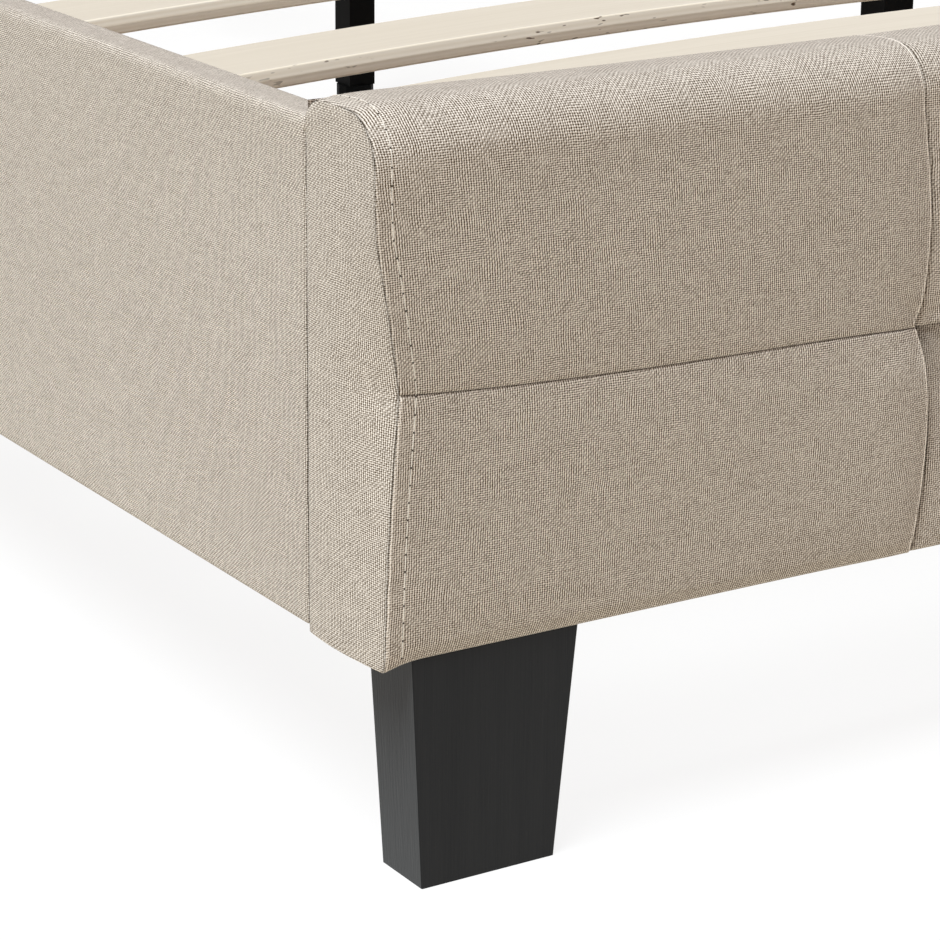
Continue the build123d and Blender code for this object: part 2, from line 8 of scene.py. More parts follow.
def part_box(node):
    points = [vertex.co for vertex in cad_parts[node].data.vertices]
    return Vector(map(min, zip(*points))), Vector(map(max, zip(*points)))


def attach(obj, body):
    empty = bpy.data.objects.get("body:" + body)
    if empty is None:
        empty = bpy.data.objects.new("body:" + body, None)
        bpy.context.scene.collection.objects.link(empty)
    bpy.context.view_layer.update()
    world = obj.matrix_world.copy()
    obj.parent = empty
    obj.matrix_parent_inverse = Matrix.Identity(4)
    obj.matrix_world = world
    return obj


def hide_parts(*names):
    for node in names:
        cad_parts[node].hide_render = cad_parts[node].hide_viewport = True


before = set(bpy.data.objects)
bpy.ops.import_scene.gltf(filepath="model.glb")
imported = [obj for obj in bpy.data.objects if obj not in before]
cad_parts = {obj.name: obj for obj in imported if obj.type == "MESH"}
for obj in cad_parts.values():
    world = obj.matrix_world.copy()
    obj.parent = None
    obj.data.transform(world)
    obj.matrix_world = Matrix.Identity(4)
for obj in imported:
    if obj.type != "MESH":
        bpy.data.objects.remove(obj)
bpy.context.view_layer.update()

# Upholstered bed: tufted headboard and footboard, padded rails, birch slats and black legs.
# Shapes are worked out in millimetres in the bed's own frame and scaled as their meshes are made.
MM = 0.001
BODY = "bed_frame"
random_source = np.random.default_rng(7)

# Photograph's camera: place in millimetres, angles in degrees, and focal length in pixels of the square photo
CAMERA_PLACE = (-1412.2, -2102.4, 565.3)
CAMERA_YAW = 32.415
CAMERA_PITCH = 17.971
CAMERA_ROLL = 0.5287
CAMERA_FOCAL_PIXELS = 3237.4
PHOTO_PIXELS = 940
SENSOR_WIDTH = 36.0

# Cloth: yarn spacing across and along the cloth, how far yarns stray, the painted shade of their relief, the
# painted shade in the gaps and the yarn colour, and the sewing thread
YARN_PITCH = (1.10, 0.91)
YARN_DRIFT = 1.4
YARN_SHAKE = 0.42
WARP_RELIEF_SHADE = (0.26, 0.9)
WEFT_RELIEF_SHADE = (0.15, 0.66)
PAINTED_GAP_SHADE = (0.075, 0.045, 0.018)
YARN_COLOUR = (0.925, 0.825, 0.715)
STITCH_LENGTH = 7.0
THREAD_RADIUS = 0.21

TUFT_COLUMNS = 6
SIDES = (("left", -1), ("right", 1))
# A distance that stands for no seam on that side, and a length that is safe to divide by
FAR = 1e3
TINY = 1e-9


def node_box(name):
    """Lowest and highest corner of a CAD node, in millimetres."""
    low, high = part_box(name)
    return np.array(low) / MM, np.array(high) / MM


footboard_low, footboard_high = node_box("footboard_cover")
HALF_WIDTH = footboard_high[0]
FOOTBOARD_BACK = node_box("footboard_back_cover")[1][1]
FOOTBOARD_DEPTH = 54.0
HEADBOARD_BACK = node_box("headboard_back_cloth")[1][1]
HEADBOARD_DEPTH = 88.0
BOARD_BOTTOM = footboard_low[2]
FOOTBOARD_TOP = 318.0
HEADBOARD_TOP = 1134.0


# Smooth steps and outlines


def smooth(value, low, high):
    """0 below low, 1 above high, and an even S-curve between."""
    share = np.clip((value - low) / (high - low), 0.0, 1.0)
    return share * share * (3.0 - 2.0 * share)


def bell(distance, width):
    """1 at no distance, falling off like a bell over the width."""
    return np.exp(-((distance / width) ** 2))


def ridge(distance, shape):
    """A bell-shaped ridge, from its height, place and width."""
    height, place, width = shape
    return height * bell(distance - place, width)


def fall(distance, shape):
    """A height that falls off with distance, from its start and reach."""
    height, reach = shape
    return height * np.exp(-distance / reach)


def crowd(count, tightness):
    """Shares from 0 to 1 that lie closer together near both ends."""
    even = np.linspace(0.0, 1.0, count + 1)
    return even - tightness * np.sin(2.0 * math.pi * even) / (2.0 * math.pi)


def stations(edges, counts, tightness):
    """Places along a line, crowded at each edge in turn."""
    places = [edges[0]]
    for low, high, count in zip(edges, edges[1:], counts):
        places.extend(low + (high - low) * crowd(count, tightness)[1:])
    return np.array(places)


def between(edges, index):
    """The edges before and after each place, from the number of its field."""
    return [np.take_along_axis(edges, index[None] + step, axis=0)[0] for step in (0, 1)]


class Outline:
    """A flat path of straight runs with rounded corners, read by its length from its first corner."""

    STEP = 0.5
    FEWEST_STEPS = 6
    REACH = 0.8

    def __init__(self, corners, radii):
        corners = [np.array(corner, float) for corner in corners]
        points = [corners[0]]
        self.marks = []
        for before, corner, after, radius in zip(corners, corners[1:], corners[2:], radii):
            into = (corner - before) / np.linalg.norm(corner - before)
            out = (after - corner) / np.linalg.norm(after - corner)
            turn = math.acos(float(np.clip(into @ out, -1.0, 1.0)))
            reach = radius * math.tan(turn / 2.0)
            first = corner - into * reach
            side = np.array([-into[1], into[0]])
            if side @ out < 0.0:
                side = -side
            centre = first + side * radius
            steps = max(self.FEWEST_STEPS, int(radius * turn / self.STEP))
            for step in range(steps + 1):
                angle = turn * step / steps
                points.append(centre - side * radius * math.cos(angle) + into * radius * math.sin(angle))
            self.marks.append(len(points) - 1)
        points.append(corners[-1])
        self.points = np.array(points)
        lengths = np.linalg.norm(np.diff(self.points, axis=0), axis=1)
        total = np.concatenate([[0.0], np.cumsum(lengths)])
        self.lengths = total - total[self.marks[0]]
        self.marks = [self.lengths[mark] for mark in self.marks]
        self.low = self.lengths[0]
        self.high = self.lengths[-1]

    def place(self, length):
        """Both coordinates at a length along the path."""
        return np.array([np.interp(length, self.lengths, self.points[:, k]) for k in (0, 1)])

    def at(self, length):
        """Place and outward direction at a length along the path; outward lies to the left of travel."""
        first, second = self.place(length)
        along = self.place(length + self.REACH) - self.place(length - self.REACH)
        along = along / np.maximum(np.linalg.norm(along, axis=0), TINY)
        return first, second, -along[1], along[0]


# Meshes


def add_mesh(name, grids, material):
    """One object from several grids of points; each grid is (points, cloth coordinates, painted light
    shares).
    """
    vertices = []
    faces = []
    cloth = []
    creases = []
    for points, flat, painted_light in grids:
        rows, columns = points.shape[:2]
        base = len(vertices)
        vertices.extend(points.reshape(-1, 3) * MM)
        cloth.extend(flat.reshape(-1, 2) * MM)
        creases.extend(np.asarray(painted_light, float).ravel())
        index = base + np.arange(rows * columns).reshape(rows, columns)
        quads = np.stack([index[:-1, :-1], index[:-1, 1:], index[1:, 1:], index[1:, :-1]], axis=-1)
        faces.extend(quads.reshape(-1, 4).tolist())
    mesh = bpy.data.meshes.new(name)
    mesh.from_pydata([tuple(v) for v in vertices], [], faces)
    uv_layer = mesh.uv_layers.new(name="weave")
    loop_vertices = np.zeros(len(mesh.loops), np.int32)
    mesh.loops.foreach_get("vertex_index", loop_vertices)
    uv_layer.uv.foreach_set("vector", np.array(cloth, np.float32)[loop_vertices].ravel())
    painted_light_layer = mesh.attributes.new("painted_light", "FLOAT", "POINT")
    painted_light_layer.data.foreach_set("value", np.array(creases, np.float32))
    mesh.polygons.foreach_set("use_smooth", [True] * len(mesh.polygons))
    mesh.materials.append(material)
    mesh.validate()
    made = bpy.data.objects.new(name, mesh)
    bpy.context.scene.collection.objects.link(made)
    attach(made, BODY)
    return made


def turned_over(grid):
    """A grid with its faces turned to the other side."""
    return tuple(part[:, ::-1] for part in grid)


def plain(points):
    """A grid of points without cloth coordinates or painted light."""
    return points, np.zeros(points.shape[:2] + (2,)), np.zeros(points.shape[:2])


# A direction that no tube of the bed runs along
TUBE_REFERENCE = (0.31, 0.57, 0.76)


def tube_grid(line, radius, sides):
    """A slim tube along a line of points, as a grid."""
    line = np.asarray(line, float)
    along = np.gradient(line, axis=0)
    along /= np.maximum(np.linalg.norm(along, axis=1, keepdims=True), TINY)
    first = np.cross(along, TUBE_REFERENCE)
    first /= np.linalg.norm(first, axis=1, keepdims=True)
    second = np.cross(along, first)
    angles = np.linspace(0.0, 2.0 * math.pi, sides + 1)
    ring = first[:, None] * np.cos(angles)[None, :, None] + second[:, None] * np.sin(angles)[None, :, None]
    return plain(line[:, None] + ring * radius)


# Materials


class NodeTree:
    """A tree of shading nodes with short calls for its maths."""

    def __init__(self, tree):
        self.tree = tree
        self.tree.nodes.clear()

    def put(self, socket, value):
        if isinstance(value, bpy.types.NodeSocket):
            self.tree.links.new(value, socket)
        else:
            socket.default_value = value

    def node(self, kind, **settings):
        made = self.tree.nodes.new(kind)
        for key, value in settings.items():
            setattr(made, key, value)
        return made

    def math(self, operation, *values):
        made = self.node("ShaderNodeMath", operation=operation)
        for socket, value in zip(made.inputs, values):
            self.put(socket, value)
        return made.outputs[0]

    def add(self, a, b):
        return self.math("ADD", a, b)

    def multiply(self, a, b):
        return self.math("MULTIPLY", a, b)

    def centred(self, value):
        """A value from 0 to 1 moved to lie evenly about 0."""
        return self.math("SUBTRACT", value, 0.5)

    def total(self, *parts):
        """Sum of values, each multiplied by its weight."""
        products = [self.multiply(value, weight) for value, weight in parts]
        result = products[0]
        for product in products[1:]:
            result = self.add(result, product)
        return result

    def mix(self, share, a, b):
        """A number between a and b."""
        made = self.node("ShaderNodeMix", data_type="FLOAT")
        self.put(made.inputs[0], share)
        self.put(made.inputs[2], a)
        self.put(made.inputs[3], b)
        return made.outputs[0]

    def colour(self, share, a, b):
        """A colour between a and b."""
        made = self.node("ShaderNodeMix", data_type="RGBA")
        self.put(made.inputs[0], share)
        for socket, value in ((made.inputs[6], a), (made.inputs[7], b)):
            self.put(socket, value if isinstance(value, bpy.types.NodeSocket) else (*value, 1.0))
        return made.outputs[2]

    def shade(self, colour, factor):
        """A colour multiplied by a number."""
        made = self.node("ShaderNodeVectorMath", operation="SCALE")
        self.put(made.inputs[0], colour)
        self.put(made.inputs["Scale"], factor)
        return made.outputs[0]

    def combine(self, x, y, z=0.0):
        made = self.node("ShaderNodeCombineXYZ")
        for socket, value in zip(made.inputs, (x, y, z)):
            self.put(socket, value)
        return made.outputs[0]

    def stretch(self, parts, factors):
        """A vector of values, each multiplied by its factor."""
        return self.combine(*[self.multiply(part, factor) for part, factor in zip(parts, factors)])

    def separate(self, vector):
        made = self.node("ShaderNodeSeparateXYZ")
        self.put(made.inputs[0], vector)
        return made.outputs

    def noise(self, vector, scale, detail=2.0, roughness=0.5, distortion=0.0):
        made = self.node("ShaderNodeTexNoise", noise_dimensions="3D")
        self.put(made.inputs["Vector"], vector)
        made.inputs["Scale"].default_value = scale
        made.inputs["Detail"].default_value = detail
        made.inputs["Roughness"].default_value = roughness
        made.inputs["Distortion"].default_value = distortion
        return made.outputs["Fac"]

    def ramp(self, value, low, high):
        """value stretched so that low becomes 0 and high becomes 1."""
        made = self.node("ShaderNodeMapRange", clamp=True)
        for name, number in (("Value", value), ("From Min", low), ("From Max", high)):
            self.put(made.inputs[name], number)
        return made.outputs[0]

    def seen(self):
        """1 for what the camera sees, straight or in a mirror or through glass."""
        path = self.node("ShaderNodeLightPath").outputs
        straight = self.math("MAXIMUM", path["Is Camera Ray"], path["Is Glossy Ray"])
        return self.math("MAXIMUM", straight, path["Is Transmission Ray"])

    def blend(self, share, a, b):
        """A surface between surfaces a and b."""
        made = self.node("ShaderNodeMixShader")
        for socket, value in zip(made.inputs, (share, a, b)):
            self.put(socket, value)
        return made.outputs[0]


class Shader(NodeTree):
    """A node material with a principled surface."""

    def __init__(self, name):
        self.material = bpy.data.materials.new(name)
        self.material.use_nodes = True
        super().__init__(self.material.node_tree)
        self.output = self.node("ShaderNodeOutputMaterial")
        self.bsdf = self.node("ShaderNodeBsdfPrincipled")
        self.put(self.output.inputs["Surface"], self.bsdf.outputs["BSDF"])

    def bump(self, height, strength, distance):
        made = self.node("ShaderNodeBump")
        made.inputs["Strength"].default_value = strength
        made.inputs["Distance"].default_value = distance
        self.put(made.inputs["Height"], height)
        self.put(self.bsdf.inputs["Normal"], made.outputs[0])

    def finish(self, colour, **settings):
        self.put(self.bsdf.inputs["Base Color"], colour)
        for name, value in settings.items():
            self.put(self.bsdf.inputs[name.replace("_", " ").title().replace("Ior", "IOR")], value)
        return self.material

    def object_place(self):
        return self.node("ShaderNodeTexCoord").outputs["Object"]

    # Painted light share of each point: painted shade where positive, painted highlight where negative
    def painted_light(self):
        made = self.node("ShaderNodeAttribute", attribute_name="painted_light")
        return made.outputs["Fac"]


def woven_cloth():
    """Oatmeal plain weave: pale yarns with painted shade in the gaps between them and painted shading of
    their round relief and crossings, each yarn uneven in width and tone.
    """
    m = Shader("oatmeal_weave")
    uv = m.node("ShaderNodeUVMap", uv_map="weave").outputs[0]
    across, along, _ = m.separate(uv)

    def turned(shift):
        """The cloth's coordinates with across and along exchanged."""
        return m.combine(along, across, shift)

    def wave(place):
        return m.math("SINE", m.multiply(place, math.pi))

    def yarns(place):
        """Height of a row of round yarns at a place counted in yarns."""
        return m.math("POWER", wave(m.math("FRACT", place)), 2.0)

    drift = m.centred(m.noise(uv, 60.0, 1.0))
    shake_p = m.centred(m.noise(uv, 420.0, 1.0))
    shake_q = m.centred(m.noise(turned(3.0), 420.0, 1.0))
    p = m.total((across, 1.0 / (YARN_PITCH[0] * MM)), (drift, YARN_DRIFT), (shake_p, YARN_SHAKE))
    q = m.total((along, 1.0 / (YARN_PITCH[1] * MM)), (drift, -YARN_DRIFT), (shake_q, YARN_SHAKE))
    warp_number = m.math("FLOOR", p)
    weft_number = m.math("FLOOR", q)
    over = m.math("FLOORED_MODULO", m.add(warp_number, weft_number), 2.0)
    warp = yarns(p)
    weft = yarns(q)
    check = m.multiply(wave(p), wave(q))
    # Painted shade along one diagonal of the crossings, as the key light from the left and above falls across
    # them; check adds to it in the colour
    painted_slant_shade = m.math("COSINE", m.multiply(m.math("SUBTRACT", p, q), math.pi))
    height = m.total((warp, 0.31), (weft, 0.29), (check, 0.35))
    warp_share = m.ramp(m.noise(uv, 95.0, 1.0), 0.32, 0.68)
    weft_share = m.ramp(m.noise(turned(7.0), 95.0, 1.0), 0.32, 0.68)
    # Painted shade of the round yarns: lighter on their crests, darker towards their sides
    painted_relief_shade = m.total(
        (m.centred(warp), m.mix(warp_share, *WARP_RELIEF_SHADE)),
        (m.centred(weft), m.mix(weft_share, *WEFT_RELIEF_SHADE)),
    )
    crossing = m.node("ShaderNodeTexWhiteNoise", noise_dimensions="2D")
    m.put(crossing.inputs["Vector"], m.combine(warp_number, weft_number))
    speck = m.centred(crossing.outputs["Value"])
    warp_tone = m.noise(m.stretch((warp_number, along), (3.7, 45.0)), 1.0, 2.0, 0.6)
    weft_tone = m.noise(m.combine(m.multiply(across, 45.0), m.multiply(weft_number, 3.7), 5.0), 1.0, 2.0, 0.6)
    tone = m.centred(m.mix(over, warp_tone, weft_tone))
    patches = m.centred(m.noise(uv, 9.0, 2.0))
    painted_light = m.painted_light()
    # Painted highlight: a negative painted light share lightens the cloth, on the lip beside each seam and
    # beside the end seams
    painted_highlight = m.math("MAXIMUM", m.multiply(painted_light, -1.0), 0.0)
    details = m.total((tone, 0.26), (speck, 0.16), (patches, 0.03), (check, 0.08), (painted_slant_shade, 0.11), (painted_highlight, 0.6))
    light = m.add(m.add(painted_relief_shade, 0.5), details)
    # Colour runs from the painted shade of the gaps up to the yarn colour
    yarn = m.colour(m.ramp(light, 0.14, 0.86), PAINTED_GAP_SHADE, YARN_COLOUR)
    # Painted shade: the yarn colour is darkened by the positive painted light share, in seams, grooves,
    # hollows and at the rail ends
    colour = m.shade(yarn, m.mix(m.math("MAXIMUM", painted_light, 0.0), 1.0, 0.14))
    m.bump(height, 0.8, 0.00045)
    return m.finish(colour, roughness=0.9, sheen_weight=0.20, sheen_roughness=0.4, specular_ior_level=0.15)


def sewing_thread():
    """Pale polyester thread with a fine twist."""
    m = Shader("pale_thread")
    twist = m.node("ShaderNodeTexWave", wave_type="BANDS", bands_direction="DIAGONAL")
    m.put(twist.inputs["Vector"], m.object_place())
    twist.inputs["Scale"].default_value = 900.0
    colour = m.colour(twist.outputs["Fac"], (0.76, 0.69, 0.60), (0.90, 0.83, 0.73))
    m.bump(twist.outputs["Fac"], 0.4, 0.0001)
    return m.finish(colour, roughness=0.55, sheen_weight=0.2)


# Painted shade: near-black spots that stand in for the shade in each needle hole
def painted_needle_hole_shade():
    m = Shader("painted_needle_hole_shade")
    speck = m.noise(m.object_place(), 900.0)
    return m.finish(m.colour(speck, (0.035, 0.026, 0.018), (0.09, 0.07, 0.05)), roughness=0.95)


def lining_cloth():
    """Thin black bonded cloth with a dimpled surface."""
    m = Shader("black_lining")
    place = m.object_place()
    dots = m.node("ShaderNodeTexVoronoi", feature="F1")
    m.put(dots.inputs["Vector"], place)
    dots.inputs["Scale"].default_value = 620.0
    dots.inputs["Randomness"].default_value = 0.25
    fibres = m.noise(place, 300.0, 5.0, 0.7)
    colour = m.colour(m.total((fibres, 0.7), (dots.outputs["Distance"], 0.3)),
                      (0.012, 0.012, 0.013), (0.042, 0.042, 0.045))
    m.bump(dots.outputs["Distance"], 0.35, 0.0003)
    return m.finish(colour, roughness=0.85, sheen_weight=0.1)


def black_stained_wood():
    """Wood stained black, with fine upright grain that shows where light grazes it."""
    m = Shader("black_stained_wood")
    place = m.separate(m.object_place())
    grain = m.noise(m.stretch(place, (900.0, 900.0, 22.0)), 1.0, 4.0, 0.65)
    broad = m.noise(m.stretch(place, (130.0, 130.0, 9.0)), 1.0, 2.0)
    shade = m.total((grain, 0.65), (broad, 0.35))
    colour = m.colour(m.ramp(shade, 0.3, 0.72), (0.005, 0.0048, 0.0048), (0.012, 0.0116, 0.0114))
    m.bump(grain, 0.25, 0.0004)
    return m.finish(colour, roughness=m.mix(grain, 0.42, 0.6), specular_ior_level=0.2, sheen_weight=0.42,
                    sheen_roughness=0.35)


PLY_PITCH = 2.4 * MM


def birch():
    """Pale laminated birch: long fine grain, ply lines on the edges, edges lightened by painted light, and a
    few small knots.
    """
    m = Shader("birch_ply")
    uv = m.node("ShaderNodeUVMap", uv_map="weave").outputs[0]
    length, girth, _ = m.separate(uv)
    seed = m.multiply(m.separate(m.object_place())[1], 3.1)

    def drawn_out(along, across, *settings):
        """Noise drawn out along the slat."""
        return m.noise(m.combine(m.multiply(length, along), m.multiply(girth, across), seed), 1.0, *settings)

    grain = drawn_out(7.0, 420.0, 5.0, 0.6, 0.6)
    figure = drawn_out(2.4, 70.0, 2.0, 0.5, 1.2)
    shade = m.total((grain, 0.55), (figure, 0.45))
    colour = m.colour(m.ramp(shade, 0.28, 0.75), (0.62, 0.545, 0.445), (0.56, 0.485, 0.385))
    edge = m.painted_light()
    # Painted light: the edges are much lighter than the top, standing in for light that does not reach them;
    # the ply lines on them are real
    plies = m.math("SINE", m.multiply(girth, 2.0 * math.pi / PLY_PITCH))
    ply_and_painted_light_edge = m.colour(m.ramp(m.total((plies, 0.5), (grain, 1.4)), -0.2, 1.6),
                           (0.93, 0.845, 0.71), (0.82, 0.72, 0.57))
    colour = m.colour(edge, colour, ply_and_painted_light_edge)
    knots = drawn_out(170.0, 620.0, 1.0)
    clusters = m.ramp(m.noise(m.combine(m.multiply(length, 9.0), seed), 1.0, 1.0), 0.45, 0.6)
    knot = m.multiply(m.multiply(m.ramp(knots, 0.68, 0.74), clusters), edge)
    colour = m.colour(knot, colour, (0.13, 0.085, 0.05))
    m.bump(grain, 0.12, 0.0004)
    return m.finish(colour, roughness=m.mix(grain, 0.45, 0.62), specular_ior_level=0.35)


def softwood(name, light, dark):
    """Plain frame timber with lengthways grain."""
    m = Shader(name)
    place = m.stretch(m.separate(m.object_place()), (6.0, 150.0, 150.0))
    grain = m.noise(place, 1.0, 4.0, 0.6, 0.8)
    m.bump(grain, 0.2, 0.0005)
    return m.finish(m.colour(m.ramp(grain, 0.3, 0.75), light, dark), roughness=0.7)


def foam():
    m = Shader("foam")
    cells = m.noise(m.object_place(), 700.0, 3.0)
    m.bump(cells, 0.5, 0.0005)
    return m.finish(m.colour(cells, (0.80, 0.74, 0.52), (0.88, 0.83, 0.64)), roughness=0.95)


def powder_coat():
    """Black powder-coated steel with a fine orange-peel surface."""
    m = Shader("black_powder_coat")
    peel = m.noise(m.object_place(), 1300.0, 2.0)
    smudge = m.noise(m.object_place(), 24.0, 3.0)
    m.bump(peel, 0.18, 0.0002)
    colour = m.colour(smudge, (0.0028, 0.0026, 0.0025), (0.0050, 0.0046, 0.0043))
    return m.finish(colour, roughness=m.mix(smudge, 0.5, 0.62), specular_ior_level=0.04)


def moulded_plastic():
    """Black moulded plastic with a fine spark-eroded grain."""
    m = Shader("black_plastic")
    grain = m.noise(m.object_place(), 2400.0, 2.0)
    broad = m.noise(m.object_place(), 60.0, 2.0)
    m.bump(grain, 0.3, 0.00012)
    colour = m.colour(broad, (0.0022, 0.0022, 0.0022), (0.004, 0.004, 0.004))
    return m.finish(colour, roughness=m.mix(grain, 0.5, 0.65), specular_ior_level=0.04)


def zinc_steel():
    """Zinc-plated steel with a faint spangle and light scratches."""
    m = Shader("zinc_steel")
    place = m.object_place()
    spangle = m.node("ShaderNodeTexVoronoi", feature="F1")
    m.put(spangle.inputs["Vector"], place)
    spangle.inputs["Scale"].default_value = 160.0
    scratches = m.noise(place, 500.0, 4.0, 0.7)
    colour = m.colour(m.separate(spangle.outputs["Color"])[0], (0.56, 0.57, 0.58), (0.68, 0.69, 0.70))
    m.bump(scratches, 0.08, 0.0002)
    return m.finish(colour, metallic=1.0, roughness=m.mix(scratches, 0.28, 0.45))


def pale_floor():
    """White floor that keeps a faint shadow for the camera and lights the bed like a pale studio floor."""
    m = Shader("pale_floor")
    grain = m.noise(m.object_place(), 5.0, 2.0)
    warm = m.colour(grain, (0.70, 0.65, 0.55), (0.71, 0.66, 0.56))
    bounced = m.node("ShaderNodeLightPath").outputs["Is Diffuse Ray"]
    m.finish(m.colour(bounced, (0.72, 0.70, 0.68), warm), roughness=1.0, specular_ior_level=0.0)
    white = m.node("ShaderNodeEmission")
    white.inputs["Strength"].default_value = 1.06
    upper = m.blend(m.multiply(m.seen(), 0.84), m.bsdf.outputs[0], white.outputs[0])
    under = m.node("ShaderNodeNewGeometry").outputs["Backfacing"]
    clear = m.node("ShaderNodeBsdfTransparent").outputs[0]
    m.put(m.output.inputs["Surface"], m.blend(under, upper, clear))
    return m.material


CLOTH = woven_cloth()
THREAD = sewing_thread()
NEEDLE_HOLE_SHADE = painted_needle_hole_shade()
LINING = lining_cloth()
BLACK_WOOD = black_stained_wood()
BIRCH = birch()
SOFTWOOD = softwood("softwood", (0.74, 0.58, 0.38), (0.60, 0.43, 0.25))
PLYWOOD = softwood("plywood", (0.72, 0.58, 0.40), (0.55, 0.41, 0.26))
FOAM = foam()
BLACK_STEEL = powder_coat()
BLACK_PLASTIC = moulded_plastic()
ZINC = zinc_steel()


# Tufted boards


class TuftedBoard:
    """A padded board whose cloth wraps from its underside, up the front and over the top to the back.

    Places on the cloth are given as x across the bed and s up the front, from the bottom edge."""

    HEM_RADIUS = 2.0
    BACK_ROLL = 12.0
    # Top: how far back its crest lies, and where the front's shapes give way to it
    CREST_BACK = 21.0
    CREST_FALL = 30.0
    TOP_START = 6.0
    TOP_TURN = 1.5
    TOP_CLOSING = 0.84
    # Pillows: fullness and roundness of their rise from each kind of seam
    SLOW_RISE = (2.2, 0.8)
    FULL_RISE = (2.2, 0.6)
    FULL_SIDE = 24.0
    ROW_RISE = (3.0, 0.6)
    TOP_RISE = (6.0, 0.7)
    HEM_RISE = (5.0, 0.7)
    END_RISE = (3.0, 0.8)
    END_TOP_SHARE = 0.2
    END_TOP_REACH = 22.0
    # Upright seams: groove, lip beside it, and the seam's course up the board
    SEAM_GROOVE = (2.4, 1.1)
    LIP_WALL = (2.4, 0.4)
    LIP = (0.6, 1.2, 0.7)
    TOP_GROOVE_LOSS = 0.45
    SEAM_WAVE = 1.3
    LEAN_SPAN = (-59.0, 25.0)
    PULL_REACH = 10.0
    # Row seams, and the pinch at each crossing: to the right in the lowest row, to the right, to the left
    ROW_GROOVE = (0.8, 0.42)
    LIFT_REACH = 75.0
    DIP_REACH = 30.0
    ROW_SHIFT_REACH = 60.0
    PINCH_REACH = 15.0
    PINCH_SQUASH = 1.15
    PINCH_SIDES = (2.0, 1.4, 0.8)
    PLAIN_PINCH = 0.6
    # Bulge and hollow beside a crossing, under the row seam
    BULGE = (1.0, 12.0, 30.0)
    BULGE_DROP = 24.0
    BULGE_REACH = (18.0, 60.0)
    HOLLOW_ACROSS = (1.0, 18.0, 15.0)
    HOLLOW_UNDER = (1.0, 26.0, 20.0)
    # End seams: the drawn-in curve, the filled corner, the welt and the topstitching
    END_LIFT = 0.88
    END_CURVE = 1.7
    END_TURN = 1.4
    END_FADE = 24.0
    END_SWELL = (-12.0, 28.0)
    END_FILL = (46.0, 11.5)
    END_CLOSING = 10.0
    WELT = (0.18, 1.4, 0.9)
    WELT_DROP = (0.3, 0.5)
    TOP_WELT_LOSS = 0.7
    STITCH_LINE = (0.22, 0.0, 0.9)
    STITCH_OFFSET = (7.7, 0.6)
    STITCH_SPAN = (50.0, 90.0)
    # Painted shade in the seams and beside the crossings, and painted highlight on the cloth just beside them
    SEAM_SHADOW = (1.0, 0.9)
    LIP_SHADOW = (1.0, 0.15)
    HOLLOW_SHADOW = ((0.6, 14.0), (1.0, 24.0))
    CROSSING_SHADOW = ((0.5, 1.8), (1.0, 3.5))
    ROW_SHADOW = (0.9, 0.22)
    END_SHADOW = (0.8, 0.3)
    SEAM_HIGHLIGHT = (0.75, 1.1, 0.8)
    END_HIGHLIGHT = (1.0, 0.8, 0.5)
    END_HIGHLIGHT_SHARES = (0.7, 0.3)
    # End panel: sunk, with painted shade along the end seam and along the back edge
    PANEL_SEAM = (0.3, 0.6)
    PANEL_BACK = (0.9, 0.9)
    PANEL_SEAM_SHADOW = (1.0, 0.45)
    PANEL_BACK_SHADOW = (0.5, 0.6)
    PANEL_CURVE = 2.1
    # Spans of s over which shapes set in above the hem
    FRONT_SPAN = (-4.0, 2.0)
    RIPPLE_SPAN = (-6.0, 30.0)
    # Folds about each crossing: width at the start, its growth, and the span over which they set in
    FOLD_WIDTH = (2.2, 0.12)
    FOLD_START = (1.0, 8.0)
    # Lower corners of the cloth, and the bow of its upright yarns
    EAR_WIDTH = (11.0, 12.0)
    BOW = (0.75, 0.25, 12.0)
    # Painted shade at the needle holes: radius and lift of each ring
    HOLE_RINGS = ((0.01, 0.34), (0.40, 0.30), (0.60, -0.25))

    def __init__(self, front, depth, bottom, top, radius, tuck, tail, row_heights, swells, tufted, look):
        self.front = front
        self.depth = depth
        self.bottom = bottom
        back = depth - tuck
        self.outline = Outline(
            [(depth - 1.0, bottom + 0.6), (0.0, bottom), (0.0, top), (back, top), (back, top - tail)],
            [self.HEM_RADIUS, radius, self.BACK_ROLL],
        )
        self.radius = radius
        self.shoulder = top - radius - bottom - self.HEM_RADIUS
        self.crest = self.shoulder + radius * math.pi / 2.0 + self.CREST_BACK - radius
        self.rows = [0.0] + [height - bottom - self.HEM_RADIUS for height in row_heights]
        self.rows.append(self.outline.high)
        self.swells = swells
        self.tufted = tufted
        self.look = look
        self.seams = np.linspace(-HALF_WIDTH, HALF_WIDTH, TUFT_COLUMNS + 1)
        self.seams[1] += look["first_seam_shift"]
        self.wanders = random_source.uniform(-5.0, 5.0, (TUFT_COLUMNS + 1, len(swells)))
        self.wanders[0] = 0.0
        self.wanders[-1] = 0.0
        self.wanders[1] = look["first_seam_wander"]
        self.leans = random_source.uniform(-6.0, 6.0, TUFT_COLUMNS + 1)
        self.pulls = random_source.uniform(-4.0, 4.0, TUFT_COLUMNS + 1)
        self.leans[1] = look["first_seam_lean"]
        self.pulls[1] = look["first_seam_pull"]
        self.ripples = [
            (
                random_source.uniform(0.012, 0.05),
                random_source.uniform(0.01, 0.05),
                *random_source.uniform(0, 6.3, 2),
            )
            for _ in range(9)
        ]
        self.creases = []
        for seam in range(1, TUFT_COLUMNS):
            for row in range(1, len(swells)):
                for quarter in range(4):
                    for _ in range(2):
                        angle = math.pi / 2 * (quarter + random_source.uniform(0.2, 0.8))
                        depth_here = random_source.uniform(0.35, 1.0)
                        run = random_source.uniform(16.0, 42.0)
                        self.creases.append((seam, row, angle, depth_here, run))

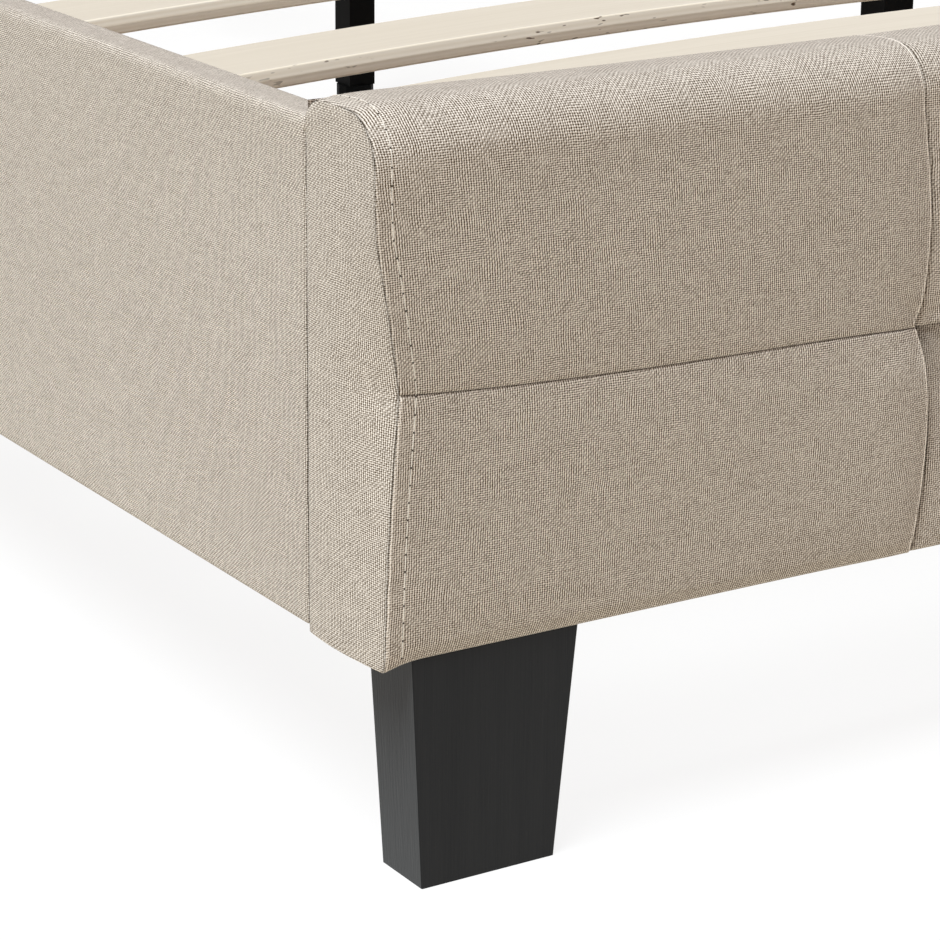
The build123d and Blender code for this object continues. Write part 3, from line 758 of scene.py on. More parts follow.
    def row_height(self, row, x):
        """Height along the cloth of a row seam, which lifts a little towards both ends of the board."""
        lift = self.look["seam_lift"] * np.exp(-(HALF_WIDTH - np.abs(x)) / self.LIFT_REACH)
        from_seam = np.min(np.abs(np.asarray(x)[..., None] - self.seams[1:-1]), axis=-1)
        return self.rows[row] + lift - self.look["seam_dip"] * np.exp(-from_seam / self.DIP_REACH)

    def inward(self, s):
        """How far the end seam is drawn in from the end of the board, most at each row seam."""
        look = self.look
        drawn = np.zeros(np.shape(s))
        for height in self.rows[1:-1]:
            peak = height + look["seam_lift"] * self.END_LIFT
            nearing = np.clip(1.0 - (peak - s) / look["end_reach"], 0.0, 1.0) ** self.END_CURVE
            below = look["end_low"] + (look["end_draw"] - look["end_low"]) * nearing
            above = look["end_draw"] * np.clip(1.0 - (s - peak) / look["end_reach_up"], 0.0, 1.0)
            drawn = np.maximum(drawn, np.where(s < peak, below, above))
        drawn = drawn * smooth(self.shoulder + self.radius * self.END_TURN - s, 0.0, self.END_FADE)
        place, width = self.END_SWELL
        return drawn - look["end_swell"] * bell(s - self.shoulder - place, width)

    def seam_places(self, s):
        """x of every upright seam at each s."""
        per_seam = (-1,) + (1,) * np.ndim(s)
        shift = np.zeros((TUFT_COLUMNS + 1,) + np.shape(s))
        for row, (low, high) in enumerate(zip(self.rows, self.rows[1:])):
            share = np.clip((s - low) / (high - low), 0.0, 1.0)
            shift += self.wanders[:, row].reshape(per_seam) * np.sin(math.pi * share) ** self.SEAM_WAVE
        start, end = self.LEAN_SPAN
        shift += self.leans.reshape(per_seam) * smooth(s, self.shoulder + start, self.shoulder + end)
        for row, height in enumerate(self.rows[:-1]):
            pull = np.exp(-np.abs(s - height) / self.PULL_REACH) * (0.5 if row == 0 else 1.0)
            shift += self.pulls.reshape(per_seam) * pull
        places = self.seams.reshape(per_seam) + shift
        drawn = self.inward(s)
        places[0] = -HALF_WIDTH + drawn
        places[-1] = HALF_WIDTH - drawn
        return places

    @staticmethod
    def rise(distance, half, fullness, roundness):
        """Height share of a pillow at a distance from its seam."""
        share = np.clip(distance / half, 0.0, 1.0)
        return np.clip(1.0 - (1.0 - share) ** fullness, 0.0, 1.0) ** roundness

    def measures(self, x, s):
        """Distances of places on the cloth from the seams about them."""
        places = self.seam_places(s)
        column = np.clip((x[None] >= places).sum(axis=0) - 1, 0, TUFT_COLUMNS - 1)
        left, right = between(places, column)
        heights = [self.row_height(row, x) for row in range(1, len(self.swells))]
        row = np.zeros(np.shape(s), int)
        for height in heights:
            row += s >= height
        lowest, highest = (np.full(np.shape(s), self.rows[end]) for end in (0, -1))
        low, high = between(np.array([lowest, *heights, highest]), row)
        return column, x - left, right - x, row, s - low, high - s

    def swell(self, x, s):
        """How far the cloth stands out from the board's plain outline, and its painted shade or painted
        highlight there.
        """
        column, from_left, from_right, row, above, below = self.measures(x, s)
        half = (from_left + from_right) / 2.0
        end_left = column == 0
        end_right = column == TUFT_COLUMNS - 1
        last = row == len(self.swells) - 1
        over_top = smooth(s, self.shoulder - self.TOP_START, self.shoulder + self.radius * self.TOP_TURN)
        slow_rise = self.rise(from_left, half, *self.SLOW_RISE)
        full_rise = self.rise(from_right, self.FULL_SIDE, *self.FULL_RISE)
        left_rise = np.where(end_left, self.end_rise(from_left, half, over_top), slow_rise)
        right_rise = np.where(end_right, self.end_rise(from_right, half, over_top), full_rise)
        bump_x = np.minimum(left_rise, right_rise)
        at_end = (end_left & (from_left < from_right)) | (end_right & (from_right <= from_left))
        bump_x = np.where(at_end, bump_x, bump_x + (1.0 - bump_x) * over_top * self.TOP_CLOSING)
        half_row = (above + below) / 2.0
        tufted = np.array(self.tufted)[row]
        bump_s = self.rise(np.minimum(above, below), half_row, *self.ROW_RISE)
        bump_s = np.where(last & (below < above), self.rise(below, half_row, *self.TOP_RISE), bump_s)
        bump_s = np.where((row == 0) & (above < below), self.rise(above, half_row, *self.HEM_RISE), bump_s)
        floor = self.look["row_floor"]
        bump_x = np.where(tufted, bump_x, 1.0)
        out = np.array(self.swells)[row] * bump_x * (floor + (1.0 - floor) * bump_s)
        out = out * smooth(s, -self.HEM_RADIUS * 1.6, 5.0)
        past_crest = np.maximum(s - self.crest, 0.0) / self.CREST_FALL
        crown = self.look["crown_share"] * np.clip(1.0 - past_crest**2, 0.0, 1.0)
        out = out * (1.0 + (crown - 1.0) * over_top)

        right_of_seam = np.where(end_left, FAR, from_left)
        left_of_seam = np.where(end_right, FAR, from_right)
        over_row = np.where(row == 0, FAR, above)
        under_row = np.where(last, FAR, below)
        from_row = np.minimum(over_row, under_row)
        fade_plain = np.where(tufted, 1.0, 0.0)
        on_front = smooth(s, *self.FRONT_SPAN)
        groove = np.maximum(fall(right_of_seam, self.SEAM_GROOVE), fall(left_of_seam, self.LIP_WALL))
        groove = groove - ridge(left_of_seam, self.LIP)
        groove = groove * fade_plain * on_front * (1.0 - self.TOP_GROOVE_LOSS * over_top)
        out = out - groove - fall(from_row, self.ROW_GROOVE)

        low_side, right_side, left_side = self.PINCH_SIDES
        from_crossing = np.hypot(np.minimum(right_of_seam, left_of_seam), from_row * self.PINCH_SQUASH)
        pinch = self.look["pinch"] * np.exp(-from_crossing / self.PINCH_REACH)
        right_pinch = np.where(row == 0, low_side, right_side)
        pinch = pinch * np.where(right_of_seam < left_of_seam, right_pinch, left_side)
        pinch = pinch * np.minimum(fade_plain + (row == 0) * self.PLAIN_PINCH, 1.0)
        out = out - pinch + self.folds(x, s)
        from_bulge = under_row - self.BULGE_DROP
        bulge = self.look["bulge"] * bell(from_bulge, np.where(from_bulge < 0.0, *self.BULGE_REACH))
        out = out + bulge * ridge(left_of_seam, self.BULGE)
        hollow = ridge(right_of_seam, self.HOLLOW_ACROSS) * ridge(under_row, self.HOLLOW_UNDER)
        out = out - self.look["hollow"] * hollow

        from_end = HALF_WIDTH - np.abs(x) - self.inward(s)
        inside_end = np.maximum(from_end, 0.0)
        arc_middle = self.shoulder + self.radius * math.pi / 4.0
        spread, height = self.END_FILL
        fill = self.look["corner_fill"] * bell(from_end, spread) * bell(s - arc_middle, height)
        welt = ridge(from_end, self.WELT) - fall(inside_end, self.WELT_DROP)
        welt = welt - ridge(from_end - self.stitch_offset(s), self.STITCH_LINE)
        out = out + fill + welt * on_front * (1.0 - self.TOP_WELT_LOSS * over_top)
        out = out + self.ripple(x, s) * smooth(s, *self.RIPPLE_SPAN)

        # Painted shade in the seam grooves, under the lip, in the hollow beside each crossing, along the row
        # seams and beside the end seams
        under_lip = np.maximum(right_of_seam - bulge, 0.0)
        beside, under = self.HOLLOW_SHADOW
        before, over = self.CROSSING_SHADOW
        shadows = [
            fall(under_lip, self.SEAM_SHADOW),
            fall(left_of_seam, self.LIP_SHADOW),
            fall(right_of_seam, beside) * fall(under_row, under),
            fall(left_of_seam, before) * fall(over_row, over),
        ]
        painted_light = np.maximum(np.max(shadows, axis=0) * fade_plain, fall(from_row, self.ROW_SHADOW))
        painted_light = np.maximum(painted_light, fall(inside_end, self.END_SHADOW) * self.before_crest(s)) * on_front
        # Painted highlight beside each upright seam and each end seam
        end_painted_highlight = np.where(row == 0, *self.END_HIGHLIGHT_SHARES) * ridge(from_end, self.END_HIGHLIGHT)
        painted_highlight = ridge(left_of_seam, self.SEAM_HIGHLIGHT) * fade_plain + end_painted_highlight * (1.0 - over_top)
        painted_light = painted_light - painted_highlight * on_front * np.clip(1.0 - 2.0 * painted_light, 0.0, 1.0)
        return out, np.clip(painted_light, -1.0, 1.0)

    def end_rise(self, distance, half, over_top):
        """Height share towards the end of the board: nearly flat on the front, a tight roll on the top."""
        share = self.look["end_share"]
        front = share + (1.0 - share) * self.rise(distance, half, *self.END_RISE)
        top_rise = self.rise(distance, self.END_TOP_REACH, *self.SLOW_RISE)
        top = self.END_TOP_SHARE + (1.0 - self.END_TOP_SHARE) * top_rise
        return front * (1.0 - over_top) + top * over_top

    def before_crest(self, s):
        """1 up to the crest, and 0 behind it, where the end seam closes."""
        return 1.0 - smooth(s, self.crest, self.crest + self.END_CLOSING)

    def stitch_offset(self, s):
        """Distance of the topstitching from the end seam."""
        wide, narrowing = self.STITCH_OFFSET
        start, end = self.STITCH_SPAN
        return wide - narrowing * smooth(s, self.rows[1] + start, self.rows[1] + end)

    def ripple(self, x, s):
        """Faint unevenness of the padding."""
        total = np.zeros(np.shape(s))
        for across, up, first, second in self.ripples:
            total += np.sin(x * across + first) * np.sin(s * up + second)
        return total * self.look["ripple"] / 3.0

    def folds(self, x, s):
        """Short soft creases that fan out from each sewn crossing."""
        total = np.zeros(np.shape(s))
        for seam, row, angle, deep, run in self.creases:
            dx = x - self.seams[seam]
            ds = s - self.rows[row]
            along = dx * math.cos(angle) + ds * math.sin(angle)
            aside = -dx * math.sin(angle) + ds * math.cos(angle)
            ahead = np.clip(along, 0.0, None)
            width = self.FOLD_WIDTH[0] + self.FOLD_WIDTH[1] * ahead
            fade = smooth(along, *self.FOLD_START) * np.exp(-ahead / run)
            total -= deep * self.look["fold"] * bell(aside, width) * fade
        return total

    def surface(self, x, s):
        """Points of the cloth and their painted light shares."""
        back, z, out_back, out_z = self.outline.at(s)
        swell, painted_light = self.swell(x, s)
        ear_across, ear_up = self.EAR_WIDTH
        ear = self.look["ear"] * bell(HALF_WIDTH - np.abs(x), ear_across) * bell(s, ear_up)
        points = np.stack([x, self.front + back + out_back * swell, z + out_z * swell - ear], axis=-1)
        return points, painted_light

    def bow(self, s):
        """Sideways bow of the upright yarns, which lean towards the lowest row seam from both sides."""
        from_row = s - self.rows[1]
        even, leaning, softness = self.BOW
        return self.look["bow"] * (even * np.sqrt(from_row**2 + softness**2) + leaning * from_row)

    def panel(self, per_column, per_row):
        """The whole front and top as one grid, with close stations at every seam."""
        shares = [0.0]
        for _ in range(TUFT_COLUMNS):
            shares.extend(shares[-1] + crowd(per_column, 0.92)[1:])
        shares = np.array(shares)
        under = np.linspace(self.outline.low, -self.HEM_RADIUS * 2.0, 8)
        hem = np.linspace(-self.HEM_RADIUS * 1.6, 0.0, 9)[:-1]
        front = stations(self.rows, per_row, 0.84)
        up = np.concatenate([under, hem, front])
        column = np.clip(shares.astype(int), 0, TUFT_COLUMNS - 1)
        part = shares - column
        level = np.broadcast_to(up[:, None], (len(up), len(shares)))
        stand = np.arange(len(shares))

        def across(s):
            """x of every station, between the seams to its left and right."""
            places = self.seam_places(s)
            left = places[column, :, stand].T
            right = places[column + 1, :, stand].T
            return left * (1.0 - part)[None] + right * part[None]

        s = level
        for _ in range(3):
            x = across(s)
            s = level
            for row in range(1, len(self.swells)):
                near = np.clip(1.0 - np.abs(level - self.rows[row]) / self.ROW_SHIFT_REACH, 0.0, 1.0)
                s = s + (self.row_height(row, x) - self.rows[row]) * near
        x = across(s)
        points, painted_light = self.surface(x, s)
        return points, np.stack([x + self.bow(s), s], axis=-1), painted_light

    def gusset(self, side, count):
        """The end panel between the end seam and the back edge."""
        front = stations(self.rows, [count] * (len(self.rows) - 1), 0.5)
        s = np.concatenate([np.linspace(-self.HEM_RADIUS * 1.5, 0.0, 5)[:-1], front])
        across = crowd(count, 0.9)[None]
        inward = self.inward(s)
        edge, _ = self.surface(side * (HALF_WIDTH - inward), s)
        rising = np.clip((s - self.shoulder) / (s[-1] - self.shoulder), 0.0, 1.0)
        straight = np.minimum(s, self.shoulder) + self.bottom + self.HEM_RADIUS
        back = np.empty((len(s), 3))
        back[:, 0] = side * HALF_WIDTH
        back[:, 1] = self.front + self.depth
        back[:, 2] = straight + (edge[-1, 2] - straight) * rising
        points = edge[:, None] * (1.0 - across[..., None]) + back[:, None] * across[..., None]
        length = np.linalg.norm(edge - back, axis=1)[:, None]
        run = length * across
        to_back = length - run
        drawn = inward[:, None] * (1.0 - across) ** self.PANEL_CURVE
        arch = 4.0 * across * (1.0 - across)
        belly = self.look["gusset_belly"] * arch
        sink = fall(run, self.PANEL_SEAM) + fall(to_back, self.PANEL_BACK)
        ripple = self.ripple(points[..., 1] * 1.7 + 400.0, points[..., 2]) * arch
        points[..., 0] = side * (HALF_WIDTH - drawn + belly - sink + ripple)
        flat = np.stack([side * points[..., 1], points[..., 2]], axis=-1)
        painted_light = np.maximum(fall(run, self.PANEL_SEAM_SHADOW), fall(to_back, self.PANEL_BACK_SHADOW))
        painted_light = painted_light * self.before_crest(s)[:, None]
        grid = (points, flat, painted_light)
        return grid if side > 0 else turned_over(grid)

    def topstitching(self, side):
        """Thread of the row of stitches beside an end seam, and dark spots of painted shade at its needle
        holes.
        """
        threads = []
        holes = []
        ends = np.arange(2.0, self.outline.marks[2] - 2.0, STITCH_LENGTH)
        for low, high in zip(ends, ends[1:]):
            share = np.linspace(0.0, 1.0, 9)
            s = low + (high - low) * share
            x = side * (HALF_WIDTH - self.inward(s) - self.stitch_offset(s))
            line, _ = self.surface(x, s)
            _, _, out_back, out_z = self.outline.at(s)
            lift = THREAD_RADIUS * (1.3 * np.sin(math.pi * share) ** 0.35 - 0.4)
            line[:, 1] += out_back * lift
            line[:, 2] += out_z * lift
            threads.append(tube_grid(line, THREAD_RADIUS, 7))
            out = np.array([0.0, out_back[0], out_z[0]])
            upright = np.array([0.0, -out_z[0], out_back[0]])
            sideways = np.array([1.0, 0.0, 0.0])
            angles = np.linspace(0.0, 2.0 * math.pi, 9)
            circle = np.cos(angles)[:, None] * sideways + np.sin(angles)[:, None] * upright
            rings = [line[0] + out * lift + radius * circle for radius, lift in self.HOLE_RINGS]
            holes.append(plain(np.array(rings)))
        return threads, holes


FOOTBOARD_LOOK = {
    "first_seam_wander": [2.9, 0.0],
    "first_seam_lean": -9.7,
    "first_seam_pull": -4.0,
    "first_seam_shift": 0.85,
    "seam_dip": 3.2,
    "seam_lift": 8.2,
    "end_low": 3.5,
    "end_draw": 9.7,
    "end_reach": 104.0,
    "end_reach_up": 62.0,
    "end_swell": 1.2,
    "bow": 0.1,
    "bulge": 2.2,
    "hollow": 3.8,
    "end_share": 0.45,
    "row_floor": 0.5,
    "crown_share": 1.25,
    "pinch": 2.8,
    "fold": 1.0,
    "corner_fill": -1.8,
    "ripple": 0.55,
    "ear": 3.2,
    "gusset_belly": 0.6,
}
HEADBOARD_LOOK = dict(FOOTBOARD_LOOK, seam_lift=3.0, first_seam_wander=[0.0, 4.0, -3.0, 4.0], seam_dip=1.8,
                      end_draw=9.0, end_reach=120.0, end_reach_up=120.0, end_swell=0.0, bow=0.0, bulge=0.0,
                      hollow=0.0, corner_fill=0.0, ear=0.0, pinch=5.0, fold=1.3, crown_share=0.8)

footboard = TuftedBoard(
    front=FOOTBOARD_BACK - FOOTBOARD_DEPTH,
    depth=FOOTBOARD_DEPTH,
    bottom=BOARD_BOTTOM,
    top=FOOTBOARD_TOP,
    radius=17.0,
    tuck=0.0,
    tail=14.0,
    row_heights=[203.2],
    swells=[3.2, 3.6],
    tufted=[True, True],
    look=FOOTBOARD_LOOK,
)
headboard = TuftedBoard(
    front=HEADBOARD_BACK - HEADBOARD_DEPTH,
    depth=HEADBOARD_DEPTH,
    bottom=BOARD_BOTTOM,
    top=HEADBOARD_TOP,
    radius=34.0,
    tuck=1.8,
    tail=26.0,
    row_heights=[330.0, 600.0, 870.0],
    swells=[2.0, 8.0, 8.0, 8.0],
    tufted=[False, True, True, True],
    look=HEADBOARD_LOOK,
)


GUSSET_STATIONS = 26


def build_board(board, name, per_column, per_row):
    """The upholstered body of a board and its stitching."""
    grids = [board.panel(per_column, per_row)]
    threads = []
    holes = []
    for _, side in SIDES:
        grids.append(board.gusset(side, GUSSET_STATIONS))
        side_threads, side_holes = board.topstitching(side)
        threads.extend(side_threads)
        holes.extend(side_holes)
    body = add_mesh(f"{name}_upholstery", grids, CLOTH)
    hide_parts(f"{name}_cover", f"{name}_foam")
    add_mesh(f"{name}_topstitching", threads, THREAD)
    add_mesh(f"{name}_needle_hole_painted_shades", holes, NEEDLE_HOLE_SHADE)


build_board(footboard, "footboard", per_column=84, per_row=[58, 84])
build_board(headboard, "headboard", per_column=50, per_row=[30, 52, 52, 66])


# Flat cloth on the backs of the boards


SHEET_THICKNESS = 0.8


def back_sheet(name, node, material, sag, drop):
    """A stretched sheet on the back of a board, a little uneven between its staples."""
    low, high = node_box(node)
    high[2] -= drop
    x = np.linspace(low[0], high[0], 160)
    z = np.linspace(low[2], high[2], max(24, int((high[2] - low[2]) / 9.0)))
    grid_x, grid_z = np.meshgrid(x, z)
    from_sides = np.minimum(grid_x - low[0], high[0] - grid_x)
    from_ends = np.minimum(grid_z - low[2], high[2] - grid_z)
    inside = smooth(np.minimum(from_sides, from_ends), 0.0, 45.0)
    wave = np.sin(grid_x * 0.013 + 1.0) * np.sin(grid_z * 0.017 + 0.4)
    wave += 0.6 * np.sin(grid_x * 0.031 + grid_z * 0.009)
    y = high[1] - 0.2 - sag * inside * (0.55 + 0.28 * wave)
    front = np.stack([grid_x, y, grid_z], axis=-1)
    behind = front.copy()
    behind[..., 1] -= SHEET_THICKNESS
    flat = np.stack([grid_x, grid_z], axis=-1)
    painted_light = np.zeros(grid_x.shape)
    sides = [turned_over((front, flat, painted_light)), (behind, flat, painted_light)]
    made = add_mesh(name, sides, material)
    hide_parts(node)


back_sheet("footboard_back_panel", "footboard_back_cover", CLOTH, sag=0.5, drop=0.0)
back_sheet("headboard_lining", "headboard_back_cloth", LINING, sag=0.9, drop=8.0)


# Staples: distance from the lining's edge, spacing, wire, and the reach and rise of each point of a staple
STAPLE_INSET = 14.0
STAPLE_PITCH = 46.0
STAPLE_WIRE = 0.45
STAPLE_SHAPE = ((-5.0, -1.0), (-4.8, 0.2), (0.0, 0.3), (4.8, 0.2), (5.0, -1.0))


def staples():
    """Wire staples that hold the lining to the back of the headboard."""
    low, high = node_box("headboard_back_cloth")
    y = high[1] - 0.1
    grids = []
    places = []
    for x in np.arange(low[0] + 30.0, high[0] - 20.0, STAPLE_PITCH):
        places += [(x, low[2] + STAPLE_INSET, 1.0, 0.0), (x, high[2] - STAPLE_INSET, 1.0, 0.0)]
    for z in np.arange(low[2] + STAPLE_PITCH, high[2] - 30.0, STAPLE_PITCH):
        places += [(low[0] + STAPLE_INSET, z, 0.0, 1.0), (high[0] - STAPLE_INSET, z, 0.0, 1.0)]
    for x, z, level, upright in places:
        tilt = random_source.uniform(-0.2, 0.2)
        dx = level * math.cos(tilt) - upright * math.sin(tilt)
        dz = level * math.sin(tilt) + upright * math.cos(tilt)
        line = [(x + dx * reach, y + rise, z + dz * reach) for reach, rise in STAPLE_SHAPE]
        grids.append(tube_grid(line, STAPLE_WIRE, 6))
    add_mesh("headboard_staples", grids, ZINC)


staples()


# Side rails


RAIL_HEM_RADIUS = 2.0
RAIL_HEM_SAG = 1.6
RAIL_OUTER_RADIUS = 4.5
RAIL_INNER_RADIUS = 5.0
RAIL_END_RUN = 14.0
RAIL_END_SINK = (0.9, 0.8)
RAIL_END_SHADOW = (0.7, 0.5)
RAIL_PRESSED_LINE = (0.35, -3.0, 1.6)
RAIL_WEAVE_SCALE = np.array([1.08, 1.035])


def rail_cover(name, side):
    """Padded cloth all round a rail, with a pressed line along its outer top edge."""
    low, high = node_box(f"{name}_rail_cover")
    width = high[0] - low[0]
    bottom, top = low[2] - RAIL_HEM_SAG, high[2]
    outline = Outline(
        [(width / 2, bottom), (0.0, bottom), (0.0, top), (width, top), (width, bottom), (width / 2, bottom)],
        [RAIL_HEM_RADIUS, RAIL_OUTER_RADIUS, RAIL_INNER_RADIUS, RAIL_HEM_RADIUS],
    )
    outer_top = outline.marks[1] - RAIL_OUTER_RADIUS * math.pi / 2.0
    faces = [outline.low, -RAIL_HEM_RADIUS, 0.0, outer_top, *outline.marks[1:4], outline.high]
    path = stations(faces, [5, 6, 44, 12, 16, 44, 8], 0.5)
    ends = (low[1], high[1])
    y = stations([ends[0], ends[0] + RAIL_END_RUN, ends[1] - RAIL_END_RUN, ends[1]], [16, 90, 16], 0.35)
    grid_s, grid_y = np.meshgrid(path, y, indexing="ij")
    across, z, out_across, out_z = outline.at(grid_s)
    from_end = np.minimum(grid_y - ends[0], ends[1] - grid_y)
    puff = 0.5 * np.sin(grid_y * 0.011 + 0.7) * np.sin(grid_s * 0.021 + 0.3)
    puff += 0.3 * np.sin(grid_y * 0.027 + grid_s * 0.012 + 2.0)
    out = (puff - 0.3) * smooth(np.minimum(grid_s, outer_top - grid_s), 0.0, 40.0)
    out += ridge(grid_s - outline.marks[1], RAIL_PRESSED_LINE)
    out -= fall(from_end, RAIL_END_SINK)
    x = side * (HALF_WIDTH - across - out_across * out)
    points = np.stack([x, grid_y, z + out_z * out], axis=-1)
    painted_light = fall(from_end, RAIL_END_SHADOW)
    flat = np.stack([side * grid_y, grid_s], axis=-1) * RAIL_WEAVE_SCALE
    grids = [(points, flat, painted_light)]
    for end in (0, -1):
        ring = points[:, end]
        spine = ring.copy()
        spine[:, 0] = side * (HALF_WIDTH - width / 2)
        spine[:, 2] = np.clip(ring[:, 2], bottom + width / 2, top - width / 2)
        cap_flat = np.stack([flat[:, end]] * 2, axis=1)
        grids.append((np.stack([ring, spine], axis=1), cap_flat, np.full((len(ring), 2), RAIL_END_SHADOW[0])))
    if side < 0:
        grids = [turned_over(grid) for grid in grids]
    made = add_mesh(f"{name}_rail_upholstery", grids, CLOTH)
    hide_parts(f"{name}_rail_cover", f"{name}_rail_foam")


for rail_name, rail_side in SIDES:
    rail_cover(rail_name, rail_side)


# Sprung slats


SLAT_THICKNESS = 9.0
SLAT_CAMBER = 13.8
SLAT_INNER_END = 3.0
SLAT_NOSE_HEIGHT = 4.6
SLAT_TOP_SLANT = 1.1
SLAT_CORNER_RADIUS = 0.9
SLAT_NOSE_RADIUS = 1.8
SLAT_EDGE_RUN = (3.0, 1.0)
SLAT_STATIONS = 49
SLAT_TWIST = 0.25
GRAIN_SHIFT = 900.0


def slat_ring(width):
    """Cross-section of a slat as a closed outline with rounded edges, and how much each point is edge."""
    half = width / 2
    top = half - SLAT_TOP_SLANT
    corners = [
        (0.0, 0.0),
        (-half, 0.0),
        (-half, SLAT_NOSE_HEIGHT),
        (-top, SLAT_THICKNESS),
        (top, SLAT_THICKNESS),
        (half, SLAT_NOSE_HEIGHT),
        (half, 0.0),
        (0.0, 0.0),
    ]
    radii = [SLAT_CORNER_RADIUS, SLAT_NOSE_RADIUS, SLAT_CORNER_RADIUS]
    outline = Outline(corners, radii + radii[::-1])
    before, after = SLAT_EDGE_RUN
    marks = outline.marks
    runs = [marks[0] - before, marks[2] + after, marks[3] - before, marks[5] + after]
    lengths = stations([outline.low, *runs, outline.high], [3, 33, 7, 33, 3], 0.0)
    across, up, out_across, _ = outline.at(lengths)
    # The edge share sets where the slat's colour is lightened by painted light
    edge = np.clip(np.abs(out_across) * 1.5, 0.0, 1.0)
    return across, up, edge, lengths


def slat_pair(node):
    """Both bowed slats of one row."""
    low, high = node_box(node)
    middle = (low[1] + high[1]) / 2
    width = high[1] - low[1]
    across, up, edge, girth = slat_ring(width)
    grids = []
    for _, side in SIDES:
        ends = sorted((side * SLAT_INNER_END, side * high[0]))
        x = np.linspace(*ends, SLAT_STATIONS)
        share = np.linspace(-1.0, 1.0, SLAT_STATIONS)
        bow = SLAT_CAMBER * (1.0 - share**2)
        twist = random_source.uniform(-SLAT_TWIST, SLAT_TWIST)
        grid_x = np.broadcast_to(x[:, None], (len(x), len(across)))
        y = middle + np.broadcast_to(across[None], grid_x.shape)
        z = low[2] + bow[:, None] + up[None] + twist * across[None] / (width / 2)
        points = np.stack([grid_x, y, z], axis=-1)
        shift = random_source.uniform(0.0, GRAIN_SHIFT)
        flat = np.stack([grid_x + shift, np.broadcast_to(girth[None], grid_x.shape) + shift], axis=-1)
        painted_light = np.broadcast_to(edge[None], grid_x.shape)
        grids.append(turned_over((points, flat, painted_light)))
        for end in (0, -1):
            ring = points[end]
            centre = ring.mean(axis=0)
            cap = np.stack([ring, np.broadcast_to(centre, ring.shape)])
            if end == 0:
                cap = cap[:, ::-1]
            # The end caps take the full painted light of the edges
            grids.append((cap, np.stack([flat[end]] * 2), np.ones(cap.shape[:2])))
    made = add_mesh(f"{node}_birch", grids, BIRCH)
    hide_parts(node)


for slat_node in sorted(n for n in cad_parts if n.startswith("slat_pair_")):
    slat_pair(slat_node)


# Carried-over CAD nodes: finishes and softened edges

SIDE_NAMES = ("left", "right")
SOFT_ANGLE = 40.0
# Finish, width of the softened edges and nodes
FINISHES = (
    (SOFTWOOD, 1.0, ["footboard_battens", "footboard_blocks", "headboard_blocks", "headboard_rails"]
     + [f"headboard_{side}_stile" for side in SIDE_NAMES] + [f"{side}_slat_ledge" for side in SIDE_NAMES]),
    (PLYWOOD, 0.6, ["left_rail_board", "right_rail_board", "footboard_panel", "headboard_panel"]),
    (BLACK_STEEL, 0.8, ["centre_beam", "front_centre_leg", "rear_centre_leg", "beam_hangers"]),
    (ZINC, 0.5, ["bracket_bolts", "centre_bolts", "leg_studs"]
     + [f"{end}_{side}_bracket" for end in ("front", "rear") for side in SIDE_NAMES]),
    (BLACK_PLASTIC, 0.7, ["leg_inserts", "front_levelling_foot", "rear_levelling_foot"]
     + [f"{place}_slat_caps" for place in ("left", "right", "centre")]),
    (BLACK_WOOD, 0.4, [f"{board}_{side}_leg" for board in ("footboard", "headboard") for side in SIDE_NAMES]),
)


def paint(node, material):
    """Give a CAD node its finish."""
    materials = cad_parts[node].data.materials
    materials.clear()
    materials.append(material)


def soften(node, width):
    """Round the sharp edges of a CAD node."""
    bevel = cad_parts[node].modifiers.new("soft_edges", "BEVEL")
    bevel.width = width * MM
    bevel.segments = 2
    bevel.limit_method = "ANGLE"
    bevel.angle_limit = math.radians(SOFT_ANGLE)
    bevel.use_clamp_overlap = True
    bevel.harden_normals = False


for node_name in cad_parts:
    paint(node_name, FOAM if node_name.endswith("foam") else CLOTH)
for finish, soft_width, finish_nodes in FINISHES:
    for node_name in finish_nodes:
        paint(node_name, finish)
        soften(node_name, soft_width)


# Floor, light and camera


FLOOR_REACH = 60.0
AMBIENT = ((1.0, 0.70, 0.68, 1.0), 0.25)
BACKDROP = ((1.0, 1.0, 1.0, 1.0), 1.0)


def build_floor():
    """A wide floor under the bed."""
    mesh = bpy.data.meshes.new("floor")
    corners = [(x * FLOOR_REACH, y * FLOOR_REACH, 0.0) for x, y in ((-1, -1), (1, -1), (1, 1), (-1, 1))]
    mesh.from_pydata(corners, [], [(0, 1, 2, 3)])
    mesh.materials.append(pale_floor())
    floor = bpy.data.objects.new("floor", mesh)
    bpy.context.scene.collection.objects.link(floor)


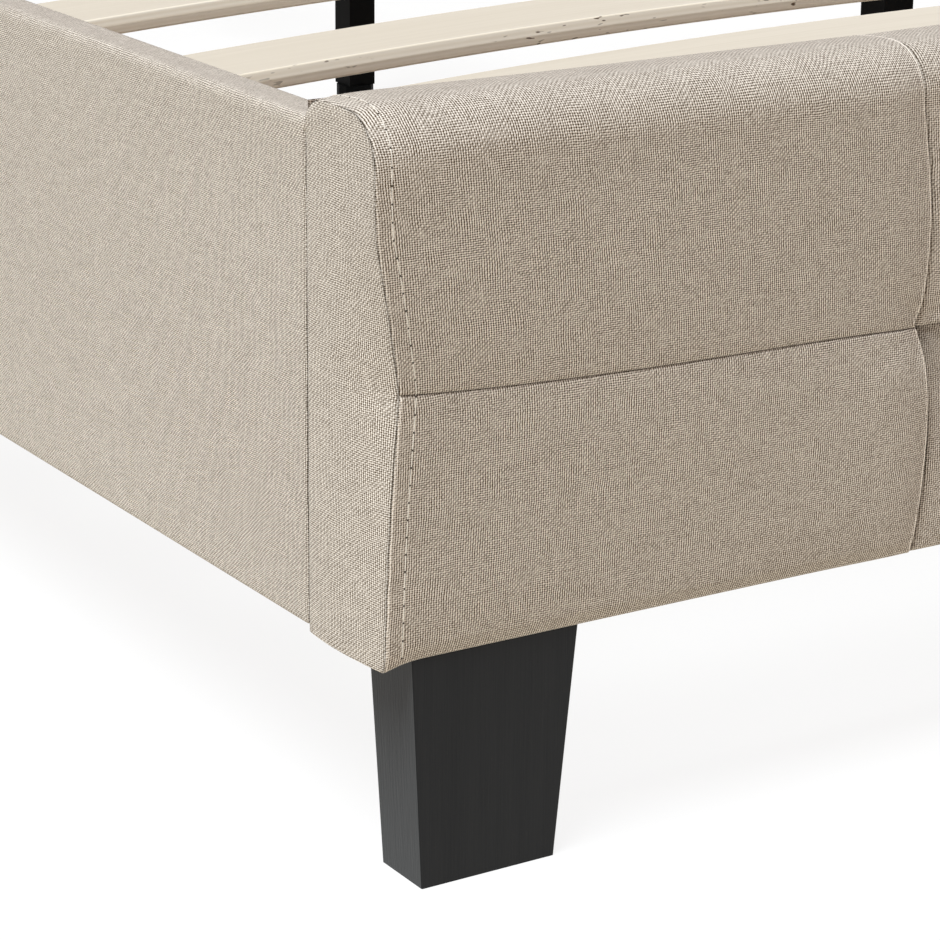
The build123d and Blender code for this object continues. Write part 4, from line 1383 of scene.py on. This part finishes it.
def build_world():
    """Even studio light, with a white background where it is seen."""
    world = bpy.data.worlds.new("studio")
    bpy.context.scene.world = world
    world.use_nodes = True
    sky = NodeTree(world.node_tree)
    lights = []
    for colour, strength in (AMBIENT, BACKDROP):
        made = sky.node("ShaderNodeBackground")
        made.inputs["Color"].default_value = colour
        made.inputs["Strength"].default_value = strength
        lights.append(made.outputs[0])
    output = sky.node("ShaderNodeOutputWorld")
    sky.put(output.inputs["Surface"], sky.blend(sky.seen(), *lights))


KEY_DIRECTION = (-0.53, -0.165, 1.10)
KEY_STRENGTH = 4.48
KEY_SOFTNESS = 32.0
KEY_COLOUR = (0.842, 0.942, 1.0)


def build_key_light():
    """A broad soft key from the left and above."""
    data = bpy.data.lights.new("key", "SUN")
    data.energy = KEY_STRENGTH
    data.angle = math.radians(KEY_SOFTNESS)
    data.color = KEY_COLOUR
    key = bpy.data.objects.new("key", data)
    key.rotation_mode = "QUATERNION"
    key.rotation_quaternion = Vector(KEY_DIRECTION).to_track_quat("Z", "Y")
    bpy.context.scene.collection.objects.link(key)


CAMERA_CLIP = (0.05, 200.0)


def build_camera():
    """The photograph's camera."""
    yaw, pitch, roll = (math.radians(a) for a in (CAMERA_YAW, CAMERA_PITCH, CAMERA_ROLL))
    ahead = Vector((math.sin(yaw) * math.cos(pitch), math.cos(yaw) * math.cos(pitch), -math.sin(pitch)))
    right = Vector((math.cos(yaw), -math.sin(yaw), 0.0))
    up = right.cross(ahead)
    rolled_right = right * math.cos(roll) + up * math.sin(roll)
    rolled_up = up * math.cos(roll) - right * math.sin(roll)
    data = bpy.data.cameras.new("photo_camera")
    data.sensor_width = SENSOR_WIDTH
    data.lens = SENSOR_WIDTH * CAMERA_FOCAL_PIXELS / PHOTO_PIXELS
    data.clip_start, data.clip_end = CAMERA_CLIP
    camera = bpy.data.objects.new("photo_camera", data)
    turn = Matrix((rolled_right, rolled_up, -ahead)).transposed().to_4x4()
    camera.matrix_world = Matrix.Translation(Vector(CAMERA_PLACE) * MM) @ turn
    bpy.context.scene.collection.objects.link(camera)
    bpy.context.scene.camera = camera


build_floor()
build_world()
build_key_light()
build_camera()
bpy.context.scene.view_settings.view_transform = "Standard"

bpy.context.view_layer.update()
